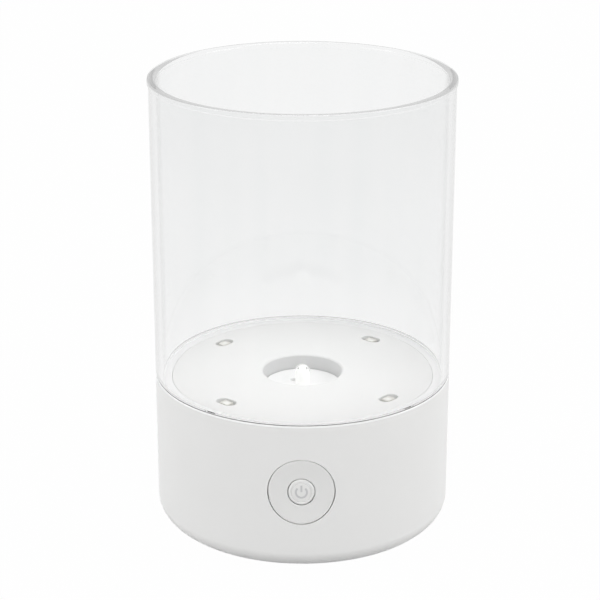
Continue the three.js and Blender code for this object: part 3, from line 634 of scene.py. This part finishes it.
cap_outline = outline(
    [
        (0, -stem_end, 0),
        (stem_radius, -stem_end, flange_edge),
        (stem_radius, -cap_flange_back, 0),
        (cap_flange_radius, -cap_flange_back, small_edge),
        (cap_flange_radius, -cap_flange_front, small_edge),
        (cap_radius, -cap_flange_front, 0),
        (cap_radius, -cap_face, cap_round),
        (groove_outer, -cap_face, groove_edge),
        (groove_outer, -groove_bottom, groove_edge),
        (groove_inner, -groove_bottom, groove_edge),
        (groove_inner, -cap_face, groove_edge),
        (0, -cap_face, 0),
    ]
)
cap = into_front_wall(turned("button_cap_face", cap_outline, 160))
cap_white = moulded_plastic("cap_white", paint(238, 238, 237), paint(233, 233, 232), 0.36)
dressed(cap, cap_white, "button", "white_plastic", "button_cap")

symbol_radius = 1.75 * mm
symbol_stroke = 0.6 * mm
symbol_rise = 0.03 * mm
symbol_gap = math.radians(44)
symbol_steps = 72
bar_low = 0.1 * mm
bar_high = 2.25 * mm


def ribbon(name, points):
    """A flat printed line along points, lying on the cap's face."""
    rows = []
    for index, point in enumerate(points):
        along = points[min(index + 1, len(points) - 1)] - points[max(index - 1, 0)]
        side = along / abs(along) * 1j * symbol_stroke / 2
        low, high = -cap_face - symbol_rise, -cap_face + symbol_rise
        corners = ((point - side, low), (point + side, low), (point + side, high), (point - side, high))
        rows.append([Vector((corner.real, corner.imag, z)) for corner, z in corners])
    return into_front_wall(filled(name, rows, closed=False))


arc_start = math.pi / 2 + symbol_gap
arc_sweep = 2 * math.pi - 2 * symbol_gap
arc_turns = [arc_start + arc_sweep * step / symbol_steps for step in range(symbol_steps + 1)]
power_arc = ribbon("power_arc", [cmath.rect(symbol_radius, turn) for turn in arc_turns])
bar_heights = (bar_low, (bar_low + bar_high) / 2, bar_high)
power_bar = ribbon("power_bar", [complex(0, height) for height in bar_heights])
print_grey = moulded_plastic("print_grey", paint(210, 210, 211), paint(202, 202, 203), 0.5)
for line in (power_arc, power_bar):
    dressed(line, print_grey, "button", "dish_grey")

# Main board. A green board on four posts of the bottom cover: controller chip, capacitor can, inductor,
# the inlet at its back edge and two wire headers at its front edge.

kept("main_board", green_board)
kept("controller_chip", black_moulding)
kept("inductor", moulded_plastic("ferrite", paint(58, 57, 58), paint(44, 43, 44), 0.6))
kept("capacitor", drawn_metal("can_aluminium", paint(205, 206, 208), 0.4))
for node in ("main_switch_header", "main_led_header", "led_header"):
    kept(node, cream_nylon)
for number in range(1, 5):
    kept(f"main_board_screw_{number}", nickel)

# Leads. Flat two-core wire with soft grey insulation, from the main board up to the switch board and
# to the ring board, and a short jumper from the ring board to the lamp board under the well.

lead_grey = moulded_plastic("lead_grey", paint(150, 152, 156), paint(132, 134, 138), 0.55)
for node in ("switch_lead", "led_lead", "centre_led_lead"):
    kept(node, lead_grey)

# Bottom cover. A white moulded disc that closes the base from below, with a locating rib, four sunk
# screw seats, four round seats for the feet and, inside, the posts of the main board.

cover_low, cover_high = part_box("bottom_cover")
cover_radius = cover_high.x
cover_bottom = cover_low.z
cover_top = cover_bottom + 2 * mm
cover_edge = 0.5 * mm
rib_outer = shelf_inner - play
rib_inner = rib_outer - 1.2 * mm
rib_top = cover_top + 1.5 * mm
column_room = 4 * mm
foot_ring = 33 * mm
foot_radius = 5 * mm
foot_seat = 0.9 * mm
head_radius = 2.7 * mm
head_height = 0.9 * mm
head_seat = head_height + 0.2 * mm
post_radius = 2.4 * mm
post_bore_reach = 9 * mm
post_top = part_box("main_board")[0].z - small_edge


def box_middle(node):
    """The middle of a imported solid's box, seen from above."""
    low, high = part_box(node)
    return (low.x + high.x) / 2, (low.y + high.y) / 2


cover_outline = outline(
    [
        (0, cover_bottom, 0),
        (cover_radius, cover_bottom, cover_edge),
        (cover_radius, cover_top, moulded_edge),
        (rib_outer, cover_top, 0),
        (rib_outer, rib_top, moulded_edge),
        (rib_inner, rib_top, moulded_edge),
        (rib_inner, cover_top, 0),
        (0, cover_top, 0),
    ]
)
cover = turned("cover", cover_outline)
cover_posts = []
cover_cuts = []
for number in (1, 4):
    across, back = box_middle(f"main_board_screw_{number}")
    for side in (1, -1):
        place = shifted(side * across, back, 0)
        cover_posts.append(moved(post(post_radius, cover_top - overrun, post_top, 48, moulded_edge), place))
        cover_cuts.append(moved(post(screw_bore, cover_top, cover_top + post_bore_reach, 32), place))
for quarter in range(4):
    swing = swung(math.pi * (quarter / 2 + 1 / 4))
    for radius, low, high in (
        (column_radius + 2 * play, cover_top, cover_top + column_room),
        (screw_bore, cover_bottom - overrun, cover_top + overrun),
        (head_radius + play, cover_bottom - overrun, cover_bottom + head_seat),
    ):
        cover_cuts.append(moved(post(radius, low, high), shifted(column_ring, 0, 0), swing))
    seat = post(foot_radius + play, cover_bottom - overrun, cover_bottom + foot_seat)
    cover_cuts.append(moved(seat, shifted(foot_ring, 0, 0), swung(math.pi * quarter / 2)))
carved(cover, cover_posts, "UNION")
carved(cover, cover_cuts, "DIFFERENCE")
cover_white = moulded_plastic(
    "cover_white", paint(236, 236, 235), paint(230, 230, 229), 0.55, grain=0.3 * mm, grain_depth=0.012 * mm
)
dressed(cover, cover_white, "base", "white_plastic", "bottom_cover")

# Feet. Four soft grey rubber pads with a rounded edge and a slightly sunk middle, pressed into the cover.

foot_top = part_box("foot_1")[1].z
foot_edge = 0.5 * mm
hollow_radius = 0.55 * foot_radius
hollow_mouth = 0.65 * foot_radius
hollow_depth = 0.15 * mm
hollow_edge = 0.3 * mm
foot_outline = outline(
    [
        (0, hollow_depth, 0),
        (hollow_radius, hollow_depth, hollow_edge),
        (hollow_mouth, 0, hollow_edge),
        (foot_radius, 0, foot_edge),
        (foot_radius, foot_top, moulded_edge),
        (0, foot_top, 0),
    ]
)
rubber = moulded_plastic(
    "foot_rubber", paint(176, 176, 174), paint(162, 162, 160), 0.8, grain=0.2 * mm, grain_depth=0.01 * mm
)
for number in range(1, 5):
    foot = moved(turned(f"foot_pad_{number}", foot_outline, 96), shifted(*box_middle(f"foot_{number}"), 0))
    dressed(foot, rubber, "base", "foot_rubber", f"foot_{number}")

# Cover screws. Flat-headed self-tapping screws with a cross recess, sunk in the cover and driven into
# the shell's four columns.

screw_low, screw_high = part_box("cover_screw_1")
head_top = screw_low.z + head_height
head_edge = 0.35 * mm
shaft_radius = 0.95 * mm
tip_radius = 0.2 * mm
tip_length = 1 * mm
cross_length = 2.6 * mm
cross_width = 0.55 * mm
cross_depth = 0.6 * mm
screw_outline = outline(
    [
        (0, screw_low.z, 0),
        (head_radius, screw_low.z, head_edge),
        (head_radius, head_top, small_edge),
        (shaft_radius, head_top, small_edge),
        (shaft_radius, screw_high.z - tip_length, 0),
        (tip_radius, screw_high.z, 0),
        (0, screw_high.z, 0),
    ]
)
for number in range(1, 5):
    screw = turned(f"screw_{number}", screw_outline, 64)
    cross = []
    for turn in (math.pi / 8 * number, math.pi / 8 * number + math.pi / 2):
        low, high = screw_low.z - overrun, screw_low.z + cross_depth
        cross.append(moved(block(-cross_length / 2, cross_length / 2, cross_width, low, high), swung(turn)))
    carved(screw, cross, "DIFFERENCE")
    moved(screw, shifted(*box_middle(f"cover_screw_{number}"), 0))
    dressed(screw, nickel, "base", "bright_metal", f"cover_screw_{number}")

# Ring board. A white-masked ring under the plate, held by four melted stakes of the plate, with the
# flat lamps on its upper side.

white_board = board_finish("white_board", paint(250, 250, 249), paint(244, 244, 243))
kept("led_board", white_board)
kept("centre_led_board", white_board)

# Flat lamps. Four surface lamps, one under each window: a white ceramic-filled housing with a round cup,
# filled with clear resin over the pale chip, and a plated contact at each end.

lamp_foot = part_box("led_1")[0].z
lamp_width = 2.8 * mm
lamp_length = 3.5 * mm
lamp_height = 1.7 * mm
lens_radius = 1.2 * mm
lens_foot_radius = 0.8 * lens_radius
lamp_cup_bottom = 0.6 * mm
lens_bottom = lamp_cup_bottom + 0.1 * mm
lens_edge_radius = 0.97 * lens_radius
lens_edge_height = 1.62 * mm
contact_width = 0.7 * lamp_width
contact_thickness = 0.24 * mm
contact_foot = -0.02 * mm
contact_top = 0.5 * mm
lamp_cup_outline = outline(
    [
        (0, lamp_cup_bottom, 0),
        (lens_foot_radius, lamp_cup_bottom, 0),
        (lens_radius, lamp_height + play, 0),
        (0, lamp_height + play, 0),
    ]
)
lens_outline = outline(
    [
        (0, lens_bottom, 0),
        (lens_foot_radius, lens_bottom, 0),
        (lens_edge_radius, lens_edge_height, 0),
        (0, lamp_height, 0),
    ]
)
lamp_housing = moulded_plastic("lamp_housing", paint(232, 230, 224), paint(222, 220, 213), 0.4)
lamp_resin = Finish("lamp_resin", {"Roughness": 0.08, "IOR": 1.52, "Coat Weight": 0.6})
resin_cloud = lamp_resin.noise(0.9 * mm)
lamp_resin.feed("Base Color", lamp_resin.mixed(resin_cloud, paint(253, 253, 250), paint(246, 245, 238)))
lamp_resin.feed("Normal", lamp_resin.bump(resin_cloud, 0.01 * mm))
for number in range(1, 5):
    across, back = box_middle(f"led_{number}")
    lamp = block(-lamp_width / 2, lamp_width / 2, lamp_length, 0, lamp_height)
    lamp.name = f"lamp_{number}"
    carved(lamp, [turned("lamp_cup", lamp_cup_outline, 48)], "DIFFERENCE")
    lens = turned(f"lamp_lens_{number}", lens_outline, 48)
    contacts = []
    for side, letter in ((-1, "a"), (1, "b")):
        contact = block(-contact_width / 2, contact_width / 2, contact_thickness, contact_foot, contact_top)
        contact.name = f"lamp_contact_{number}_{letter}"
        contacts.append(moved(contact, shifted(0, side * lamp_length / 2, 0)))
    for form in (lamp, lens, *contacts):
        moved(form, swung(math.atan2(back, across)), shifted(across, back, lamp_foot))
    dressed(lamp, lamp_housing, "base", "lamp_body", f"led_{number}")
    dressed(lens, lamp_resin, "base", "lamp_body")
    for contact in contacts:
        dressed(contact, nickel, "base", "bright_metal")

# Well floor and its lamp. A glossy white reflector disc lies on the lip at the bottom of the well, with
# a hole for the lamp and a smaller one beside it. The lamp is a clear five millimetre dome over a white
# cup with two small plated legs, and stands on its own round board.

well_radius = 13.2 * mm
floor_low, floor_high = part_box("well_reflector")
dome_low, dome_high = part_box("centre_led")
dome_radius = 2.5 * mm
nose_round = 0.999 * dome_radius
dome_hole = dome_radius + 0.02 * mm
reflector_edge = 0.15 * mm
hole_edge = 0.03 * mm
collar_radius = 2.9 * mm
collar_top = dome_low.z + 0.8 * mm
second_hole_radius = 1.2 * mm
second_hole_ring = 4.4 * mm
second_hole_turn = math.radians(133.5)
cup_radius = 2.35 * mm
cup_foot = collar_top + 0.05 * mm
cup_shoulder = cup_foot + 1 * mm
neck_radius = 1.9 * mm
neck_foot = cup_foot + 1.6 * mm
neck_round = 0.2 * mm
cup_top = dome_high.z - 1.9 * mm
cup_rim_outer = 1.5 * mm
cup_rim_inner = 0.9 * mm
cup_rim_round = 0.3 * mm
cup_hollow_radius = 0.6 * mm
cup_hollow = cup_top - 0.6 * mm
leg_width = 0.4 * mm
leg_ring = 1.1 * mm
leg_root = 0.5 * mm
leg_rise = 0.45 * mm
# The reflector and the lamp's white cup glow faintly: painted light that brightens them in the shade of the
# well, though the lamp is off.
reflector_painted_glow = 0.09
cup_painted_glow = 0.34
dome_limit = 1.5  # light that has bounced in the dome more often than this counts as trapped
dome_painted_glow = 0.9

reflector_outline = outline(
    [
        (dome_hole, floor_low.z, 0),
        (floor_high.x, floor_low.z, small_edge),
        (floor_high.x, floor_high.z, reflector_edge),
        (dome_hole, floor_high.z, hole_edge),
    ]
)
reflector = turned("well_floor", reflector_outline, 160)
second_hole = post(second_hole_radius, floor_low.z - overrun, floor_high.z + overrun, 48)
moved(second_hole, shifted(second_hole_ring, 0, 0), swung(second_hole_turn))
carved(reflector, [second_hole], "DIFFERENCE")


def white_with_painted_glow(name, pale, deep, grain, glow):
    """Glossy white plastic without relief, with a faint painted glow that brightens it in shade."""
    finish = moulded_plastic(name, pale, deep, 0.4, grain, 0)
    finish.shader.inputs["Emission Color"].default_value = (1, 1, 1, 1)
    finish.shader.inputs["Emission Strength"].default_value = glow
    return finish


reflector_white = white_with_painted_glow(
    "reflector_white", paint(255, 255, 255), paint(253, 253, 252), 0.4 * mm, reflector_painted_glow
)
reflector_white.shader.inputs["Coat Weight"].default_value = 0.3
dressed(reflector, reflector_white, "base", "reflector_white", "well_reflector")

dome_outline = outline(
    [
        (0, dome_low.z, 0),
        (collar_radius, dome_low.z, small_edge),
        (collar_radius, collar_top, small_edge),
        (dome_radius, collar_top, small_edge),
        (dome_radius, dome_high.z, nose_round),
        (0, dome_high.z, 0),
    ],
    steps=14,
)
dome = turned("well_lamp", dome_outline, 96)
dome.visible_shadow = False
clear_resin = Finish("clear_resin", {"Transmission Weight": 1.0, "IOR": 1.4, "Roughness": 0.0})
resin_flow = clear_resin.noise(1.5 * mm)
clear_resin.feed("Base Color", clear_resin.mixed(resin_flow, paint(254, 254, 252), paint(249, 249, 246)))
# Rays trapped in the dome by many bounces show a painted pale glow in place of the light that they would
# carry.
resin_bounces = clear_resin.add("ShaderNodeLightPath", output="Glossy Depth")
clear_resin.light_up(resin_bounces > dome_limit, dome_painted_glow)
dressed(dome, clear_resin, "base", "lamp_clear", "centre_led")

cup_outline = outline(
    [
        (0, cup_foot, 0),
        (cup_radius, cup_foot, small_edge),
        (cup_radius, cup_shoulder, small_edge),
        (neck_radius, neck_foot, neck_round),
        (cup_rim_outer, cup_top, cup_rim_round),
        (cup_rim_inner, cup_top, small_edge),
        (cup_hollow_radius, cup_hollow, small_edge),
        (0, cup_hollow, 0),
    ]
)
cup = turned("well_lamp_cup", cup_outline, 64)
cup_white = white_with_painted_glow("cup_white", paint(255, 255, 255), paint(252, 252, 252), 0.2 * mm, cup_painted_glow)
dressed(cup, cup_white, "base", "reflector_white")
for side, letter in ((-1, "a"), (1, "b")):
    leg = block(-leg_width / 2, leg_width / 2, leg_width, cup_top - leg_root, cup_top + leg_rise)
    leg.name = f"well_lamp_leg_{letter}"
    dressed(moved(leg, shifted(side * leg_ring, 0, 0)), nickel, "base", "bright_metal")

# Top plate. One white moulding with the round well in its middle, four slot windows over the flat lamps,
# four snap hooks at its edge and four stakes, melted over, that carry the ring board.

well_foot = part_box("top_plate")[0].z
plate_radius = 43.5 * mm
plate_bottom = plate_top - plate_thickness
plate_edge = 0.12 * mm
well_outer = well_radius + 1.3 * mm
well_mouth_round = 0.8 * mm
lip_inner = well_radius - 1.2 * mm
lip_top = floor_low.z - 0.1 * mm
lip_bottom = lip_top - 0.8 * mm
window_length = 7.1 * mm
window_width = 4.4 * mm
window_flare = 0.15 * mm
window_ring = 36.5 * mm
plate_root = plate_bottom + 0.4 * mm
hook_outer = ledge_inner - play
hook_inner = hook_outer - 1.2 * mm
hook_tip = hook_outer + 1.2 * mm
hook_width = 7 * mm
hook_catch = ledge_bottom - play
hook_drop = 1.9 * mm
stake_ring = 27 * mm
stake_radius = 1.1 * mm
stake_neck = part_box("led_board")[0].z - 0.1 * mm
stake_foot = stake_neck - 0.8 * mm
stake_head_radius = 2 * mm
stake_head_round = 0.6 * mm

plate_outline = outline(
    [
        (well_radius, well_foot, moulded_edge),
        (well_outer, well_foot, moulded_edge),
        (well_outer, plate_bottom, 0),
        (plate_radius, plate_bottom, moulded_edge),
        (plate_radius, plate_top, plate_edge),
        (well_radius, plate_top, well_mouth_round),
        (well_radius, lip_top, 0),
        (lip_inner, lip_top, small_edge),
        (lip_inner, lip_bottom, small_edge),
        (well_radius, lip_bottom, 0),
    ],
    steps=8,
)
hook_side = [
    (hook_inner, hook_catch - hook_drop),
    (hook_outer, hook_catch - hook_drop),
    (hook_tip, hook_catch - hook_drop / 3),
    (hook_tip, hook_catch),
    (hook_outer, hook_catch),
    (hook_outer, plate_root),
    (hook_inner, plate_root),
]
stake_outline = outline(
    [
        (0, stake_foot, 0),
        (stake_head_radius, stake_foot, stake_head_round),
        (stake_head_radius, stake_neck, 0),
        (stake_radius, stake_neck, 0),
        (stake_radius, plate_root, 0),
        (0, plate_root, 0),
    ]
)
plate = turned("plate", plate_outline)
plate_adds = []
plate_cuts = []
for quarter in range(4):
    turn = math.pi / 2 * quarter + tab_turn
    rows = [[Vector((x, y, z)) for x, z in hook_side] for y in (-hook_width / 2, hook_width / 2)]
    plate_adds.append(moved(filled("hook", rows, closed=False), swung(turn)))
    plate_adds.append(moved(turned("stake", stake_outline, 48), shifted(stake_ring, 0, 0), swung(turn)))
    window = slot_cutter(window_length, window_width, plate_bottom - overrun, plate_top, window_flare)
    moved(window, swung(math.pi / 2), shifted(window_ring, 0, 0), swung(turn + math.pi / 4))
    plate_cuts.append(window)
carved(plate, plate_adds, "UNION")
carved(plate, plate_cuts, "DIFFERENCE")
plate_white = moulded_plastic("plate_white", paint(243, 243, 242), paint(241, 241, 240), 0.37)
# The side of the well is painted darker: painted shade in the hollow.
well_shade_heights = (lip_top - overrun, plate_top - 0.5 * mm)
well_shade_reaches = (well_radius - 2 * mm, well_radius + 0.3 * mm)
painted_well_shade = ring_mask(plate_white, well_shade_heights, well_shade_reaches, height_blur=0.3 * mm, reach_blur=0.2 * mm)
plate_white.paint_over(painted_well_shade, paint(216, 216, 216))
dressed(plate, plate_white, "base", "plate_white", "top_plate")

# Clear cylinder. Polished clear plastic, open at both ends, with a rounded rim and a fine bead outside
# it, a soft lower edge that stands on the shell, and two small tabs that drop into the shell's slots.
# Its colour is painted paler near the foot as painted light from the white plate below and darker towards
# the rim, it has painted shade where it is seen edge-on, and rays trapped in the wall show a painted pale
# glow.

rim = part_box("cylinder")[1].z
bead = 0.35 * mm
bead_height = 1.5 * mm
bead_round = 0.15 * mm
rim_inner_round = 1.1 * mm
rim_outer_round = 0.5 * mm
foot_line = seam + 0.06 * mm
foot_inner_round = 0.2 * mm
foot_outer_round = 0.4 * mm
tab_inner = cylinder_seat + play
tab_outer = tab_inner + 0.8 * mm
tab_width = 3.8 * mm
tab_bottom = seam - 2.2 * mm
painted_light_top = seam + 24 * mm
rim_tint_start = rim - 40 * mm
rim_tint_end = rim - 15 * mm
edge_start = 0.72
edge_end = 0.88
wall_limit = 2.5  # light that has bounced in the wall more often than this counts as trapped
wall_painted_glow = 0.66

cylinder_outline = outline(
    [
        (cylinder_seat, foot_line, foot_inner_round),
        (base_radius, foot_line, foot_outer_round),
        (base_radius, rim - bead_height - bead, play),
        (base_radius + bead, rim - bead_height, bead_round),
        (base_radius + bead, rim, rim_outer_round),
        (cylinder_seat, rim, rim_inner_round),
    ],
    steps=8,
)
cylinder = turned("clear_cylinder", cylinder_outline)
tabs = []
for side in (-1, 1):
    tab = block(tab_inner, tab_outer, tab_width, tab_bottom, foot_line + overrun)
    tabs.append(moved(tab, swung(side * tab_spread + tab_turn - math.pi / 2)))
carved(cylinder, tabs, "UNION")
cylinder.visible_shadow = False

clear_plastic = Finish("clear_plastic", {"Transmission Weight": 1.0, "IOR": 1.49, "Roughness": 0.0})
flow = clear_plastic.noise(9 * mm, 3.0, (1.0, 1.0, 0.05))
# Painted light: the wall is paler near the foot, where the white plate lights it, and darker towards the
# rim.
painted_foot_light = clear_plastic.mixed(flow, paint(255, 255, 255), paint(252, 252, 252))
side_tint = clear_plastic.mixed(flow, paint(250, 250, 250), paint(246, 247, 247))
rim_tint = clear_plastic.mixed(flow, paint(248, 248, 248), paint(244, 245, 245))
side_share = clear_plastic.rise(clear_plastic.height, seam, painted_light_top, "SMOOTHSTEP")
rim_share = clear_plastic.rise(clear_plastic.height, rim_tint_start, rim_tint_end, "SMOOTHSTEP")
lower_tint = clear_plastic.mixed(side_share, painted_foot_light, side_tint)
clear_plastic.feed("Base Color", clear_plastic.mixed(rim_share, lower_tint, rim_tint))
# Painted shade: the wall is greyer where it is seen edge-on.
edge_on = clear_plastic.add("ShaderNodeLayerWeight", {}, {"Blend": 0.5}, 1)
painted_edge_shade = clear_plastic.rise(edge_on, edge_start, edge_end, "SMOOTHSTEP")
clear_plastic.paint_over(painted_edge_shade, paint(220, 220, 220))
clear_plastic.feed("Normal", clear_plastic.bump(flow, 0.01 * mm))
depth_sockets = {"Color": (0.5, 0.5, 0.5, 1), "Density": 9.0}
depth_tint = clear_plastic.add("ShaderNodeVolumeAbsorption", {}, depth_sockets)
clear_output = clear_plastic.tree.nodes["Material Output"]
clear_plastic.tree.links.new(depth_tint.socket, clear_output.inputs["Volume"])
# Rays trapped in the wall by many bounces show a painted pale glow in place of the light that they would
# carry.
bounces = clear_plastic.add("ShaderNodeLightPath", output="Glossy Depth")
clear_plastic.light_up(bounces > wall_limit, wall_painted_glow)
dressed(cylinder, clear_plastic, "cylinder", "clear_plastic", "cylinder")

# Camera. It looks along +Y and down on the lamp from the height of a table photograph, with a long
# lens, and the lamp's axis stands a little to the right of the middle of the picture.

camera_tilt = math.radians(20.43)
camera_turn = math.radians(0.45)
camera_distance = 635.3 * mm
camera_aim = Vector((-0.82 * mm, 0, seam + 23.64 * mm))
camera_data = bpy.data.cameras.new("camera")
camera_data.sensor_width = 36
camera_data.lens = 115.3
camera_data.clip_start = 0.05
camera = bpy.data.objects.new("camera", camera_data)
bpy.context.scene.collection.objects.link(camera)
camera_turned = swung(camera_turn) @ Vector((0, -math.cos(camera_tilt), math.sin(camera_tilt)))
camera.location = camera_aim + camera_distance * camera_turned
camera.rotation_euler = (math.pi / 2 - camera_tilt, 0, camera_turn)
bpy.context.scene.camera = camera

# Studio. A white floor and a white room. Soft light comes from overhead, from low all round and from
# three lamps. The floor keeps a faint shadow, and clear plastic and gloss show the camera's white.


def seen_white(nodes):
    """1 for rays that show the room to the camera, straight, mirrored or through clear plastic."""
    rays = [
        nodes.add("ShaderNodeLightPath", output=kind)
        for kind in ("Is Camera Ray", "Is Glossy Ray", "Is Transmission Ray")
    ]
    return 1 - (1 - rays[0]) * (1 - rays[1]) * (1 - rays[2])


low_light = 2.19
overhead_light = 1.1
low_edge = (0.6, 0.4)
overhead_edge = (0.86, 0.92)
world = bpy.data.worlds.new("studio")
bpy.context.scene.world = world
world.use_nodes = True
room = Nodes(world.node_tree)
direction = room.add("ShaderNodeTexCoord", output="Generated")
upward = room.add("ShaderNodeSeparateXYZ", {}, {0: direction}, 2)
room_light = room.rise(upward, *low_edge) * low_light + room.rise(upward, *overhead_edge) * overhead_light
background = world.node_tree.nodes["Background"]
background.inputs["Color"].default_value = (1, 1, 1, 1)
shown = seen_white(room)
strength = shown + (1 - shown) * room_light
world.node_tree.links.new(strength.socket, background.inputs["Strength"])

floor_radius = 4.0
floor_depth = 0.02
floor_level = (0.12, 0.12, 0.12, 1)
floor_glow = 1.04
kept_shadow = 0.05
floor = turned("floor", [complex(0, 0), complex(floor_radius, 0), complex(0, -floor_depth)], 96)
floor_white = Finish("floor_white", {"Base Color": floor_level, "Roughness": 0.9, "Specular IOR Level": 0.0})
floor_white.light_up(seen_white(floor_white) * (1 - kept_shadow), floor_glow)
floor.data.materials.append(floor_white.material)

panel_aim = Vector((0, 0, 0.07))
for place, power, width in (
    ((0.1, 0.1, 1.3), 2.0, 0.6),
    ((-1.2, -0.55, 0.6), 2.6, 0.8),
    ((1.2, -0.45, 0.7), 3.2, 0.8),
):
    panel_data = bpy.data.lights.new("panel", "AREA")
    panel_data.shape = "RECTANGLE"
    panel_data.size = width
    panel_data.size_y = width
    panel_data.energy = power
    panel = bpy.data.objects.new("panel", panel_data)
    bpy.context.scene.collection.objects.link(panel)
    panel.visible_transmission = False
    panel.location = place
    panel.rotation_euler = (panel_aim - Vector(place)).to_track_quat("-Z", "Y").to_euler()

bpy.context.scene.view_settings.view_transform = "Standard"
